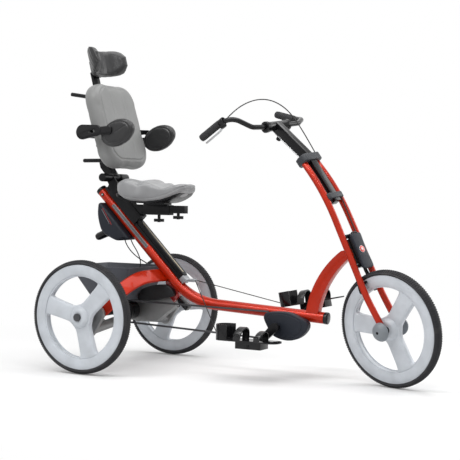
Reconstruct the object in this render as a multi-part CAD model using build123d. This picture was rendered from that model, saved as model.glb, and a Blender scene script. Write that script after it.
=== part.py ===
from build123d import *
from math import sin, cos, tan, atan2, hypot, radians, degrees, sqrt
import copy
import os

# An adaptive tricycle, in millimetres, +X forward, +Y to the rider's left, +Z up.
# It is worked out with the rear axle above x = 0 and moved to the middle of its box at the end.

# Wheels and their places
WHEEL_R = 250.0
TYRE_W = 47.0
RIM_R = 229.0
RIM_W = 39.0
RIM_BAND = 48.0
WINDOW_FILLET = 20.0
SPOKE_COUNT = 3
SPOKE_HUB_W = 66.0
SPOKE_RIM_W = 84.0
SPOKE_T = 30.0
HUB_R = 46.0
HUB_W = 62.0
TRACK = 782.0
REAR_SPOKE_TURN = {"right": 45.0, "left": 8.0}
FRONT_SPOKE_TURN = 56.0

# Running clearances
FIT = 0.05
SEAT_GAP = 0.3

# Steering axis: a point on it, its lean and how far the fork is turned as the tricycle stands
HEAD_X = 1115.0
HEAD_Z = 581.0
RAKE = 25.0
STEER = -18.0
FORK_OFFSET = 12.0
FORK_HALF = 53.0
FORK_R = 14.0
HEAD_R = 22.0
HEAD_LOW = -70.0
HEAD_HIGH = 40.0
STEERER_R = 14.3
CROWN_T = 14.0
CROWN_GAP = 5.0
CROWN_WALL = 7.0
FRONT_AXLE_R = 5.0

# Fork tube, in the steering frame: forward of the axis, up the axis
FORK_TOP = (-42.0, 425.0)
FORK_UPPER_BEND = (0.0, 255.0)
FORK_LOWER_BEND = (0.0, -215.0)
FORK_BEND_R = 850.0

# Main tube, in side view
TUBE_R = 25.0
TUBE_TOP = (-160.0, 800.0)
TUBE_CORNER = (332.0, 308.0)
TUBE_FRONT = (985.0, 273.7)
TUBE_BEND_R = 335.0
CAP_LEN = 16.0

# Neck riser
RISER_W = 40.0
RISER_DEPTH = 54.0
RISER_FOOT_X = 930.0

# Seat rail on the sloping part of the main tube
RAIL_W = 36.0
RAIL_H = 34.0
RAIL_FROM = -672.0
RAIL_TO = -95.0
RAIL_GAP = 0.3

# Battery pod
POD_HALF = 46.0
POD_ROUND = 16.0
POD_EDGE = 12.0

# Crank
CRANK_X = 795.0
CRANK_Z = 230.0
CRANK_LEN = 110.0
CRANK_ANGLE = 225.0
CRANK_AXLE_R = 10.0
CRANK_ARM_Y = 92.0
CRANK_ARM_T = 14.0
PEDAL_Y = 160.0
PEDAL_PIN_R = 6.0
PLATE_L = 300.0
PLATE_W = 92.0
PLATE_T = 6.0
PLATE_HEEL = 165.0
PLATE_UP = 18.0
FAR_PEDAL_TILT = 12.0

# Chain and its wheels
CHAIN_Y = -45.0
CHAIN_W = 6.0
CHAIN_H = 8.0
GEAR_X = 0.0
GEAR_Z = 250.0
GEAR_R = 50.0
RING_R = 60.0

# Rear axle
SHAFT_R = 10.0
BEAM_R = 22.0
BEAM_Z = 185.0
BEAM_MID_Z = 212.0
BEAM_MID_Y = 90.0
BEARING_Y = 325.0
BEARING_T = 18.0

# Seat
SEAT_L = 336.0
SEAT_W = 350.0
SEAT_REAR_X = -22.0
BACK_W = 350.0
BACK_H = 420.0
BACK_T = 62.0
BACK_LEAN = 15.5
PIVOT_X = -99.0
PIVOT_Z = 865.0
BARREL_R = 19.0
CARRIAGE_TOP = -642.0
CARRIAGE_LOW = -440.0
CABLE_POINTS = [(-203, -216, 722), (-180, -180, 744), (-152, -130, 760), (-130, -75, 764), (-112, -20, 750),
                (-95, 22, 712), (-76, 40, 655), (-52, 40, 560), (-34, 38, 449.3)]
CABLE_RADII = [30, 40, 60, 60, 60, 60, 90]
POD_CABLES = (
    ([(-30, -10, 584), (-24, -10, 560), (10, -10, 520), (55, -10, 490), (95, -10, 472)], [25, 40, 60]),
    ([(-12, 12, 588), (-6, 12, 566), (30, 12, 520), (50, 12, 470), (32, 12, 430), (10, 12, 412)], [25, 40, 40, 40]),
)

rake = radians(RAKE)
parts = {}


def tube_along(points, radii, radius):
    """A round bar of the given radius along straight runs joined by arcs."""
    path = FilletPolyline(*points, radius=radii)
    return sweep(Plane(path @ 0, z_dir=path % 0) * Circle(radius), path=path)


def side(points):
    """Points of a side view, on the middle plane."""
    return [(x, 0, z) for x, z in points]


# The side view as a drawing plane: its own x runs forward and its own y runs up
SIDE = Plane((0, 0, 0), x_dir=(1, 0, 0), z_dir=(0, -1, 0))


def slab(sketch, y_low, y_high):
    """A side view sketch given its thickness between two distances to the left."""
    return Pos(0, y_high, 0) * extrude(SIDE * sketch, y_high - y_low, dir=(0, -1, 0))


def cross_bar(x, z, radius, y_low, y_high):
    """A round bar across the tricycle."""
    return Pos(x, (y_low + y_high) / 2, z) * Rot(90, 0, 0) * Cylinder(radius, y_high - y_low)


def mirrored(shape):
    return mirror(shape, about=Plane.XZ)


# The frame of the fork: x forward of the steering axis, y left, z up the axis
fork_plane = Plane((HEAD_X, 0, HEAD_Z), x_dir=(cos(rake), 0, sin(rake)), z_dir=(-sin(rake), 0, cos(rake)))
fork_place = fork_plane.location * Rot(0, 0, STEER)
hub_lean = -sin(radians(STEER)) * sin(rake)
hub_z = (WHEEL_R - TYRE_W / 2) * sqrt(1 - hub_lean ** 2) + TYRE_W / 2
hub_s = (hub_z - HEAD_Z - FORK_OFFSET * cos(radians(STEER)) * sin(rake)) / cos(rake)


def wheel_disc(turn, bore):
    """The moulded wheel about the Y axis: rim, three broad spokes and hub."""
    inner = RIM_R - RIM_BAND
    spoke = Polygon((0, -SPOKE_HUB_W / 2), (RIM_R, -SPOKE_RIM_W / 2), (RIM_R, SPOKE_RIM_W / 2),
                    (0, SPOKE_HUB_W / 2), align=None)
    solid_face = Circle(HUB_R + 10)
    for i in range(SPOKE_COUNT):
        solid_face += Rot(0, 0, turn + 360 / SPOKE_COUNT * i) * spoke
    window = Circle(inner) - solid_face
    window = fillet(window.vertices(), WINDOW_FILLET)
    web = extrude(Circle(inner + 1) - window, SPOKE_T / 2, both=True)
    profile = Polyline((inner, -RIM_W / 2 + 4), (inner + 6, -RIM_W / 2), (RIM_R, -RIM_W / 2),
                       (RIM_R, -RIM_W / 2 + 5), (RIM_R - 10, -RIM_W / 2 + 8), (RIM_R - 10, RIM_W / 2 - 8),
                       (RIM_R, RIM_W / 2 - 5), (RIM_R, RIM_W / 2), (inner + 6, RIM_W / 2),
                       (inner, RIM_W / 2 - 4), close=True)
    rim = revolve(Plane.XZ * make_face(profile), Axis.Z)
    hub = chamfer(Cylinder(HUB_R, HUB_W).edges(), 4)
    body = web + rim + hub - Cylinder(bore, HUB_W + 2)
    return Rot(90, 0, 0) * body


def tyre_ring():
    """The tyre about the Y axis, round at its crown and seated in the rim."""
    half = TYRE_W / 2
    crown = WHEEL_R - half
    bead = RIM_W / 2 - 5 - SEAT_GAP
    foot = RIM_R - 10 + SEAT_GAP
    lip = RIM_R + SEAT_GAP
    profile = Polyline((foot, -bead + 3), (lip, -bead), (lip, -half + 3), (crown, -half))
    profile += ThreePointArc((crown, -half), (WHEEL_R, 0), (crown, half))
    profile += Polyline((crown, half), (lip, half - 3), (lip, bead), (foot, bead - 3), (foot, -bead + 3))
    return Rot(90, 0, 0) * revolve(Plane.XZ * make_face(profile), Axis.Z)


# Rear wheels, each with its half shaft running in a bearing plate
for name, sign in (("right", -1), ("left", 1)):
    place = Pos(0, sign * TRACK / 2, WHEEL_R)
    parts["rear_%s_wheel" % name] = place * wheel_disc(REAR_SPOKE_TURN[name], SHAFT_R)
    parts["rear_%s_tyre" % name] = place * tyre_ring()
    inner_y = 70.0
    outer_y = TRACK / 2 + HUB_W / 2
    shaft = cross_bar(0, WHEEL_R, SHAFT_R, inner_y, outer_y)
    shaft += cross_bar(0, WHEEL_R, 17, outer_y, outer_y + 8)
    shaft += cross_bar(0, WHEEL_R, 17, BEARING_Y + BEARING_T / 2 + 2, TRACK / 2 - HUB_W / 2)
    parts["rear_%s_shaft" % name] = shaft if sign > 0 else mirrored(shaft)

# Main tube with its end caps
main_path = side([TUBE_TOP, TUBE_CORNER, TUBE_FRONT])
main_tube = tube_along(main_path, TUBE_BEND_R, TUBE_R)
parts["main_tube"] = main_tube
slope = Vector(1, 0, -1).normalized()
low_run = (Vector(TUBE_FRONT[0], 0, TUBE_FRONT[1]) - Vector(TUBE_CORNER[0], 0, TUBE_CORNER[1])).normalized()
top_cap = Plane((TUBE_TOP[0], 0, TUBE_TOP[1]), z_dir=-slope) * Pos(0, 0, CAP_LEN / 2) * Cylinder(TUBE_R + 1, CAP_LEN)
front_cap = Plane((TUBE_FRONT[0], 0, TUBE_FRONT[1]), z_dir=low_run) * Pos(0, 0, CAP_LEN / 2) * Cylinder(TUBE_R + 1, CAP_LEN)
parts["tube_caps"] = Compound(children=[top_cap, front_cap])

# Neck riser: a curved box section from the main tube to the head tube
foot = RISER_FOOT_X
riser_face = make_face(
    ThreePointArc((foot - 27, 285), (953, 440), (1062, 565))
    + Line((1062, 565), (1112, 575))
    + Line((1112, 575), (1120, 548))
    + Line((1120, 548), (1093, 531))
    + ThreePointArc((1093, 531), (1010, 432), (foot + 27, 280))
    + Line((foot + 27, 280), (foot - 27, 285)))
riser = slab(riser_face, -RISER_W / 2, RISER_W / 2)
head_solid = fork_plane * Pos(0, 0, (HEAD_LOW + HEAD_HIGH) / 2) * Cylinder(HEAD_R, HEAD_HIGH - HEAD_LOW)
parts["neck_riser"] = riser - head_solid - main_tube
parts["head_tube"] = head_solid - fork_plane * Cylinder(STEERER_R + FIT, 400)

# Seat rail, a grooved bar on top of the slope
rail_plane = Plane((320, 0, 320), x_dir=slope, z_dir=(1, 0, 1))
rail_mid = (RAIL_FROM + RAIL_TO) / 2
rail_len = RAIL_TO - RAIL_FROM
rail = Pos(rail_mid, 0, TUBE_R + RAIL_H / 2) * Box(rail_len, RAIL_W, RAIL_H)
for sign in (-1, 1):
    rail -= Pos(rail_mid, sign * RAIL_W / 2, TUBE_R + RAIL_H * 0.55) * Box(rail_len + 2, 12, 10)
parts["seat_rail"] = rail_plane * rail - main_tube
parts["rail_block"] = rail_plane * Pos(RAIL_TO + 14, 0, TUBE_R + RAIL_H / 2) * Box(28 - SEAT_GAP, 44, 26) + Pos(325, 0, 404) * Box(50, 26, 14) - main_tube

# Battery pod under the upper end of the main tube
pod_face = make_face(
    Polyline((-150, 754.2), (-184, 745), (-190, 715))
    + ThreePointArc((-190, 715), (-165, 612), (-80, 575))
    + Polyline((-80, 575), (4.2, 600), (-150, 754.2)))
pod = slab(fillet(pod_face.vertices(), POD_ROUND), -POD_HALF, POD_HALF)
pod = fillet(pod.edges().filter_by(lambda e: abs(abs(e.center().Y) - POD_HALF) < 0.1), POD_EDGE)
parts["battery_pod"] = pod
parts["rear_lamp"] = Pos(-172, 0, 600) * Rot(0, 68, 0) * Cylinder(19, 66) - parts["battery_pod"]

# Rear arms: two broad curved straps from the main tube down to the bearing plates
ARM_STATIONS = (
    # distance from the middle, forward, up, width along the slope, thickness
    (0, 186, 421, 69, 14),
    (70, 170, 421, 69, 14),
    (150, 141, 409, 69, 14),
    (240, 112, 365, 66, 17),
    (300, 84, 303, 60, 20),
    (BEARING_Y - BEARING_T / 2, 42, 262, 54, 20),
)
slope = Vector(1, 0, -1).normalized()
arm_sections = [Plane((x, y, z), x_dir=slope, z_dir=(0, 1, 0)) * Rectangle(width, thick)
                for y, x, z, width, thick in ARM_STATIONS]
arm = loft(arm_sections)
arms = arm + mirrored(arm) - main_tube
parts["rear_arms"] = arms

# Cross beam with the two bearing plates
beam = tube_along([(0, -BEARING_Y, BEAM_Z), (0, -BEAM_MID_Y, BEAM_MID_Z), (0, BEAM_MID_Y, BEAM_MID_Z),
                   (0, BEARING_Y, BEAM_Z)], 200, BEAM_R)
beam -= cross_bar(GEAR_X, GEAR_Z, 80, -66, 66)
for sign in (-1, 1):
    y_low, y_high = sorted((sign * (BEARING_Y - BEARING_T / 2), sign * (BEARING_Y + BEARING_T / 2)))
    beam += slab(make_hull([(Pos(0, WHEEL_R) * Circle(30)).edge(), (Pos(0, BEAM_Z) * Circle(28)).edge(),
                            (Pos(44, 262) * Circle(30)).edge()]), y_low, y_high)
    beam -= cross_bar(0, WHEEL_R, SHAFT_R + FIT, y_low - 1, y_high + 1)
    beam += Pos(-20, sign * 88, 262) * Cylinder(8, 85.4) - cross_bar(0, WHEEL_R, SHAFT_R + 6, -200, 200)
parts["axle_beam"] = beam

# Drive carrier, gear hub and rear bumper
carrier = slab(Polygon((0, 205), (133, 205), (235, 285), (262, 362), (215, 362), (150, 330), (60, 300), (20, 285),
                       align=None), 20, 66)
carrier += cross_bar(0, WHEEL_R, 48, 20, 66)
carrier -= cross_bar(0, WHEEL_R, SHAFT_R + 6, 10, 80)
carrier -= beam
parts["drive_carrier"] = carrier - main_tube
lug = slab(Polygon((192, 440), (250, 382), (262, 330), (235, 300), (192, 345), align=None), -2, 19.7)
parts["frame_lug"] = lug - main_tube - arms
gear = cross_bar(GEAR_X, GEAR_Z, 42, -30, 19.7)
gear += cross_bar(GEAR_X, GEAR_Z, GEAR_R - CHAIN_H / 2 - SEAT_GAP, CHAIN_Y - 2, CHAIN_Y + 2)
gear += cross_bar(GEAR_X, GEAR_Z, 24, CHAIN_Y + 2, -30) + cross_bar(GEAR_X, GEAR_Z, 20, -66, CHAIN_Y)
gear += cross_bar(GEAR_X, GEAR_Z, 54, -66, -54)
gear += cross_bar(GEAR_X, GEAR_Z, SHAFT_R + 5.7, 19, 66)
parts["gear_hub"] = gear
parts["bumper"] = Pos(258, 39, 300) * Rot(0, 42, 0) * Box(90, 34, 26) - carrier - main_tube

# Luggage tub between the rear wheels
tub_low = Plane((-45, 0, 305), z_dir=(0, 0, 1)) * RectangleRounded(180, 240, 30)
tub_high = Plane((-45, 0, 474), z_dir=(0, 0, 1)) * RectangleRounded(290, 330, 30)
tub = loft([tub_low, tub_high])
tub_in_low = Plane((-45, 0, 308), z_dir=(0, 0, 1)) * RectangleRounded(174, 234, 27)
tub_in_high = Plane((-45, 0, 474.5), z_dir=(0, 0, 1)) * RectangleRounded(284, 324, 27)
tub -= loft([tub_in_low, tub_in_high])
parts["luggage_tub"] = tub - arms - main_tube

# Bottom bracket under the main tube
shell = cross_bar(CRANK_X, CRANK_Z, 23, -20, 36)
shell += Pos(CRANK_X, 8, CRANK_Z + 25) * Box(60, 30, 40)
shell -= main_tube
shell -= cross_bar(CRANK_X, CRANK_Z, CRANK_AXLE_R + FIT, -60, 60)
parts["bottom_bracket"] = shell

# Chain guard, closed round the front chain wheel
guard_face = make_hull([(Pos(772, 229) * Circle(65)).edge(), (Pos(885, 250) * Circle(38)).edge()])
guard = slab(guard_face, -62, -20.3)
guard = fillet(guard.edges().filter_by(lambda e: abs(e.center().Y + 62) < 0.1), 9)
guard -= cross_bar(CRANK_X, CRANK_Z, CRANK_AXLE_R + 1, -80, 0)
parts["chain_guard"] = guard - main_tube

# Chain: both runs and the turn round the gear
span_x = CRANK_X - GEAR_X
chain_tilt_top = degrees(atan2((CRANK_Z + RING_R) - (GEAR_Z + GEAR_R), span_x))
outer = make_hull([(Pos(GEAR_X, GEAR_Z) * Circle(GEAR_R + CHAIN_H / 2)).edge(),
                   (Pos(CRANK_X, CRANK_Z) * Circle(RING_R + CHAIN_H / 2)).edge()])
inner = make_hull([(Pos(GEAR_X, GEAR_Z) * Circle(GEAR_R - CHAIN_H / 2)).edge(),
                   (Pos(CRANK_X, CRANK_Z) * Circle(RING_R - CHAIN_H / 2)).edge()])
loop = slab(outer - inner, CHAIN_Y - CHAIN_W / 2, CHAIN_Y + CHAIN_W / 2)
parts["chain"] = loop - slab(guard_face, -70, -10) - Pos(940, 0, 250) * Box(400, 300, 300)


def crank_end(sign):
    angle = radians(CRANK_ANGLE + (0 if sign < 0 else 180))
    return CRANK_X + CRANK_LEN * cos(angle), CRANK_Z + CRANK_LEN * sin(angle)


# Crank set: axle, two opposite arms and the pedal pins
crank = cross_bar(CRANK_X, CRANK_Z, CRANK_AXLE_R, -CRANK_ARM_Y - 4, CRANK_ARM_Y + 4)
for sign in (-1, 1):
    end_x, end_z = crank_end(sign)
    y_low, y_high = sorted((sign * CRANK_ARM_Y, sign * (CRANK_ARM_Y + CRANK_ARM_T)))
    arm_face = make_hull([(Pos(CRANK_X, CRANK_Z) * Circle(19)).edge(), (Pos(end_x, end_z) * Circle(13)).edge()])
    crank += slab(arm_face, y_low, y_high)
    pin = sorted((sign * (CRANK_ARM_Y + CRANK_ARM_T), sign * (PEDAL_Y + 40)))
    crank += cross_bar(end_x, end_z, PEDAL_PIN_R, *pin)
parts["crankset"] = crank


def foot_pedal():
    """A foot plate about its own pin, heel cup at the back, with the two straps apart."""
    front = PLATE_L - PLATE_HEEL
    outline = RectangleRounded(PLATE_L, PLATE_W, 40)
    plate = Pos((front - PLATE_HEEL) / 2, 0, PLATE_UP + PLATE_T / 2) * extrude(outline, PLATE_T / 2, both=True)
    wall = extrude(outline - offset(outline, -4), 62) & Pos(-PLATE_L / 2, 0, 30) * Box(130, 200, 80)
    cup = Pos((front - PLATE_HEEL) / 2, 0, PLATE_UP + PLATE_T) * wall
    box = Pos(0, 0, PLATE_UP / 2 - 6) * Box(120, 76, PLATE_UP + 12)
    body = plate + cup + box - cross_bar(0, 0, PEDAL_PIN_R + FIT, -60, 60)
    straps = []
    for x, height, lean in ((-55, 58, 8), (45, 46, 12)):
        outer_arch = Pos(0, 0) * Ellipse(PLATE_W / 2, height)
        inner_arch = Ellipse(PLATE_W / 2 - 3, height - 3)
        arch = (outer_arch - inner_arch) & Pos(0, height / 2) * Rectangle(200, height)
        band = extrude(Plane.YZ * arch, 14, both=True)
        straps.append(Pos(x, 0, PLATE_UP + PLATE_T + SEAT_GAP) * band)
    return body, straps


for name, sign, tilt in (("right", -1, 0.0), ("left", 1, -FAR_PEDAL_TILT)):
    end_x, end_z = crank_end(sign)
    body, straps = foot_pedal()
    place = Pos(end_x, sign * PEDAL_Y, end_z) * Rot(0, tilt, 0)
    parts["pedal_" + name] = place * body
    parts["foot_straps_" + name] = Compound(children=[place * s for s in straps])

# Fork: two bent tubes and their ends
fork_points = [FORK_TOP, FORK_UPPER_BEND, FORK_LOWER_BEND, (FORK_OFFSET + 4, hub_s + 18)]
fork_tubes = []
for sign in (-1, 1):
    leg = tube_along([(t, sign * FORK_HALF, s) for t, s in fork_points], FORK_BEND_R, FORK_R)
    leg += Pos(FORK_OFFSET, sign * FORK_HALF, hub_s + 8) * Box(26, 8, 48)
    leg -= Pos(FORK_OFFSET, sign * FORK_HALF, hub_s) * Rot(90, 0, 0) * Cylinder(FRONT_AXLE_R, 60)
    fork_tubes.append(leg)
parts["fork_tubes"] = Compound(children=[fork_place * t for t in fork_tubes])

# Crowns and steerer
crown_z = (HEAD_HIGH + CROWN_GAP + CROWN_T / 2, HEAD_LOW - CROWN_GAP - CROWN_T / 2)
crown = Pos(0, 0, sum(crown_z) / 2) * Cylinder(STEERER_R, crown_z[0] - crown_z[1] + CROWN_T)
for z in crown_z:
    plate = extrude(SlotCenterToCenter(2 * FORK_HALF, 2 * (FORK_R + CROWN_WALL)), CROWN_T / 2, both=True)
    crown += Pos(0, 0, z) * Rot(0, 0, 90) * plate
for t in fork_tubes:
    crown -= t
parts["crown"] = fork_place * crown

# Clamps above the head
clamps = []
for z, t_mid, depth in ((235, -4, 52), (432, -46, 60)):
    block = Pos(t_mid, 0, z) * Box(depth, 2 * FORK_HALF + 2 * FORK_R + 8, 34)
    clamps.append(fillet(block.edges().filter_by(Axis.Z), 12))
stem_path = [(-2, 0, 215), (-46, 0, 432), (-149, 0, 638)]
lower_stem = Pos(-24, 0, 324) * Rot(0, -11.5, 0) * Box(34, 36, 236)
upper_stem = Pos(-97, 0, 534) * Rot(0, -26.5, 0) * Box(46, 32, 230)
barrel = Pos(-149, 0, 638) * Rot(90, 0, 0) * Cylinder(17, 150)
stem = lower_stem + upper_stem + barrel
clamp_solids = []
for c in clamps:
    solid = c - stem
    for t in fork_tubes:
        solid -= t
    clamp_solids.append(fork_place * solid)
parts["fork_clamps"] = Compound(children=clamp_solids)
parts["stem"] = fork_place * stem

# Handlebars, grips and brake levers
BAR_POINTS = {
    # forward of the axis and up it, for the outer ends of each bar, with the distance from the middle
    -1: ((-149, 60, 638), (-150, 150, 645), (-168, 225, 705), (-235, 240, 712), (-352, 251, 700)),
    1: ((-149, 60, 638), (-152, 150, 640), (-180, 222, 668), (-235, 236, 692), (-330, 251, 760)),
}
bars = []
grips = []
bar_ends = []
for sign, pts in BAR_POINTS.items():
    pts3 = [(t, sign * y, s) for t, y, s in pts]
    bar = tube_along(pts3, [40, 55, 60], 11.1)
    end = Vector(*pts3[-1])
    run = (end - Vector(*pts3[-2])).normalized()
    bars.append(bar - barrel)
    bar_ends.append((end, run))
    grip_len = 118.0
    place = Plane(end - run * grip_len, z_dir=run)
    grip = place * Pos(0, 0, (grip_len + 4) / 2) * Cylinder(16, grip_len + 4)
    grips.append(grip - bar)
parts["handlebars"] = Compound(children=[fork_place * b for b in bars])
parts["grips"] = Compound(children=[fork_place * g for g in grips])

# Head cover between the fork tubes
cover = Pos(28, 0, -25) * Box(12, 60, 150)
parts["head_cover"] = fork_place * (cover - Cylinder(HEAD_R + 3, 600))

# Front axle and wheel
axle = Pos(FORK_OFFSET, 0, hub_s) * Rot(90, 0, 0) * Cylinder(FRONT_AXLE_R, 2 * FORK_HALF + 40)
parts["front_axle"] = fork_place * axle
front_disc = wheel_disc(FRONT_SPOKE_TURN - RAKE, FRONT_AXLE_R + FIT)
parts["front_wheel"] = fork_place * Pos(FORK_OFFSET, 0, hub_s) * front_disc
parts["front_tyre"] = fork_place * Pos(FORK_OFFSET, 0, hub_s) * tyre_ring()

# Seat carriage, beam and pan
carriage_mid = (CARRIAGE_TOP + CARRIAGE_LOW) / 2
carriage_len = CARRIAGE_LOW - CARRIAGE_TOP
carriage = Pos(carriage_mid, 0, TUBE_R + RAIL_H + 12 + RAIL_GAP) * Box(carriage_len, 52, 24)
for sign in (-1, 1):
    carriage += Pos(carriage_mid, sign * 21.5, 49) * Box(carriage_len, 6, 46)
gusset = slab(Polygon((-70, 805), (40, 695), (75, 700), (75, 742.7), (0, 742.7), align=None), -20, 20)
ear = make_hull([(Pos(PIVOT_X, PIVOT_Z) * Circle(BARREL_R)).edge(), (Pos(-58, 804) * Circle(24)).edge()])
ears = slab(ear, -40, -29) + slab(ear, 29, 40)
ears += Pos(-58, 0, 804) * Rot(90, 0, 0) * Cylinder(12, 80)
carriage = rail_plane * carriage + gusset + ears
for sign in (-1, 1):
    carriage += cross_bar(PIVOT_X, PIVOT_Z, BARREL_R, *sorted((sign * 29, sign * 100)))
carriage += cross_bar(PIVOT_X, PIVOT_Z, 8, -60, 60)
parts["seat_carriage"] = carriage
beam_solid = Pos(145, 0, 719.5) * Box(140, 40, 46) + Pos(250, 0, 723) * Box(86, 32, 35)
for x, z in ((150, 680), (252, 695)):
    beam_solid += Pos(x, 0, z) * Cylinder(7, 34) + Pos(x, 0, z - 8) * Box(46, 16, 14)
parts["seat_beam"] = beam_solid
pan_low = 758.0
seat_side = make_face(
    ThreePointArc((SEAT_REAR_X, 855), (140, 812), (SEAT_REAR_X + SEAT_L, 862))
    + Line((SEAT_REAR_X + SEAT_L, 862), (SEAT_REAR_X + SEAT_L, 818))
    + ThreePointArc((SEAT_REAR_X + SEAT_L, 818), (140, 758), (SEAT_REAR_X, 806))
    + Line((SEAT_REAR_X, 806), (SEAT_REAR_X, 855)))
pan_face = make_face(
    ThreePointArc((SEAT_REAR_X + 20, 793), (140, 757.7), (SEAT_REAR_X + SEAT_L - 20, 804.5))
    + Line((SEAT_REAR_X + SEAT_L - 20, 804.5), (SEAT_REAR_X + SEAT_L - 20, 796.5))
    + ThreePointArc((SEAT_REAR_X + SEAT_L - 20, 796.5), (140, 749.7), (SEAT_REAR_X + 20, 785))
    + Line((SEAT_REAR_X + 20, 785), (SEAT_REAR_X + 20, 793)))
seat = slab(seat_side, -SEAT_W / 2, SEAT_W / 2)
plan = make_hull([(Pos(60, 85) * Circle(88)).edge(), (Pos(60, -85) * Circle(88)).edge(),
                  (Pos(245, 30) * Circle(68)).edge(), (Pos(245, -30) * Circle(68)).edge()])
parts["seat_cushion"] = seat & Pos(0, 0, 700) * extrude(plan, 260)
pan = slab(pan_face, -150, 150) & Pos(0, 0, 700) * extrude(offset(plan, -12), 260)
pan += Pos(140, 0, 748) * Box(110, 70, 10.4)
parts["seat_pan"] = pan - parts["seat_cushion"] - parts["seat_beam"]

# Backrest, modelled upright about the recline pivot and then leaned back: x forward, z up the back
back_place = Pos(PIVOT_X, 0, PIVOT_Z) * Rot(0, -BACK_LEAN, 0)
BACK_X = 80.0
BACK_LOW = 21.0
back_mid = BACK_LOW + BACK_H / 2
back_rear = BACK_X - BACK_T / 2
back_outline = RectangleRounded(BACK_W, BACK_H, 95)
cushion = Pos(BACK_X, 0, back_mid) * extrude(Plane.YZ * back_outline, BACK_T / 2, both=True)
parts["back_cushion"] = back_place * fillet(cushion.edges(), 20)
post_face = Polygon((-16, 0), (-46, 60), (-46, 88), (10, 150), (10, 508), (22, 508), (22, 400),
                    (back_rear - 12.3, 390), (back_rear - 12.3, 110), (-8, 66), (16, 0), align=None)
post = slab(post_face, -26, 26) + cross_bar(0, 0, BARREL_R, -28, 28) - cross_bar(0, 0, 8 + FIT, -60, 60)
shell = Pos(back_rear - 6.3, 0, back_mid) * Box(12, BACK_W - 110, BACK_H - 100)
parts["back_frame"] = back_place * (post + shell)
head_outer = Pos(172, 0) * Circle(145)
head_face = (head_outer - Pos(175, 0) * Circle(112)) & Pos(70, 0) * Rectangle(120, 250)
head_pad = Pos(0, 0, 482) * extrude(head_face, 126)
head_post = Pos(0, 0, 470) * Box(1, 1, 1)
neck_bar = Pos(25, 0, 500) * Box(6, 60, 60)
parts["headrest_pad"] = back_place * head_pad
stem_bar = Pos(24.8, 0, 520) * Box(5.4, 70, 70)
parts["headrest_plate"] = back_place * (stem_bar - post - head_pad)
side_pads = []
side_arms = []
for sign in (-1, 1):
    pad = Pos(192, sign * 194, 154) * Rot(0, -40, 0) * Rot(90, 0, 0) * extrude(Ellipse(88, 60), 14, both=True)
    side_pads.append(back_place * pad)
    arm_piece = Pos(23, sign * 123.6, 205) * Box(20, 194.8, 50) + Pos(72, sign * 214.3, 205) * Box(124, 12, 50)
    arm_piece += Pos(160, sign * 214.3, 180) * Rot(0, 22, 0) * Box(90, 12, 44)
    side_arms.append(back_place * (arm_piece - shell - pad - post))
parts["side_pads"] = Compound(children=side_pads)
parts["side_pad_arms"] = Compound(children=side_arms)
handles = []
for sign in (-1, 1):
    low = (back_rear - 12.3, sign * 100, 100)
    handles.append(tube_along([low, (-40, sign * 100, 95), (-76, sign * 100, 60)], 20, 11))
    high = (back_rear - 12.3, sign * 100, 340)
    handles.append(tube_along([high, (-40, sign * 100, 345), (-110, sign * 100, 345)], 30, 11))
parts["rear_handles"] = Compound(children=[back_place * (h - post - shell) for h in handles])

# Brake levers: a clamp on each bar beside its grip, and a blade
levers = []
for bar_end, bar_run in bar_ends:
    start = bar_end - bar_run * 134
    across = Vector(0.75, 0, -0.66)
    across = (across - bar_run * across.dot(bar_run)).normalized()
    place = Plane(start, x_dir=across, z_dir=bar_run)
    clamp = Cylinder(16, 22) + Pos(20, 0, 4) * Box(26, 14, 28)
    blade = tube_along([(26, 0, 10), (42, 0, 34), (46, 0, 128)], 20, 4.5)
    levers.append(place * (clamp + blade) - bars[len(levers)] - grips[len(levers)])
parts["brake_levers"] = Compound(children=[fork_place * v for v in levers])

# Front brake behind the fork tubes
brake = []
for sign in (-1, 1):
    arm_face = make_hull([(Pos(sign * 46, hub_s + 185) * Circle(9)).edge(), (Pos(sign * 34, hub_s + 275) * Circle(6)).edge()])
    lever_arm = Pos(-18.7, 0, 0) * extrude(Plane.YZ * arm_face, 5, both=True)
    lever_arm += Pos(-8, sign * 31, hub_s + 215) * Box(44, 10, 12)
    for t in fork_tubes:
        lever_arm -= t
    brake.append(fork_place * lever_arm)
parts["front_brake"] = Compound(children=brake)

# Lever and knobs of the telescopic stem
knob = Pos(-129, 0, 600) * Rot(0, -26.5, 0) * Pos(-34, 0, 0) * Rot(0, 90, 0) * Cylinder(11, 22)
knob += Pos(-90, 0, 440) * Box(27.4, 14, 40)
parts["stem_knobs"] = fork_place * (knob - stem - clamps[0] - clamps[1])

# Elastic cords from the block at the foot of the rail to the heels of the foot plates
cords = []
for sign, tilt in ((-1, 0.0), (1, -FAR_PEDAL_TILT)):
    end_x, end_z = crank_end(sign)
    heel = Pos(end_x, sign * PEDAL_Y, end_z) * Rot(0, tilt, 0) * Pos(-PLATE_HEEL - 1.8, 0, PLATE_UP + 20)
    heel = heel.position
    start = Vector(352, sign * 9, 404)
    run = heel - start
    cords.append(Plane(start, z_dir=run) * Pos(0, 0, run.length / 2) * Cylinder(2, run.length))
parts["pedal_cords"] = Compound(children=cords)

# Two thin cables from the battery pod down behind the main tube
cables = []
for points, radii in POD_CABLES:
    cables.append(tube_along(points, radii, 2.5) - parts["battery_pod"])
parts["pod_cables"] = Compound(children=cables)

# Brake cable, all of it on the fork: from the right lever over to the front brake
cable = tube_along(CABLE_POINTS, CABLE_RADII, 2.5)
cable_low = Pos(13, 30, (217.7 + 59.3) / 2) * Cylinder(2.5, 217.7 - 59.3)
parts["brake_cable"] = Compound(children=[fork_place * (cable - levers[0]), fork_place * cable_low])
# Everything moved so that the origin is under the middle of its box
whole = Compound(children=[copy.copy(s) for p in parts.values() for s in p.solids()])
box = whole.bounding_box()
shift = -(box.min.X + box.max.X) / 2
move = Pos(shift, 0, 0)

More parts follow.
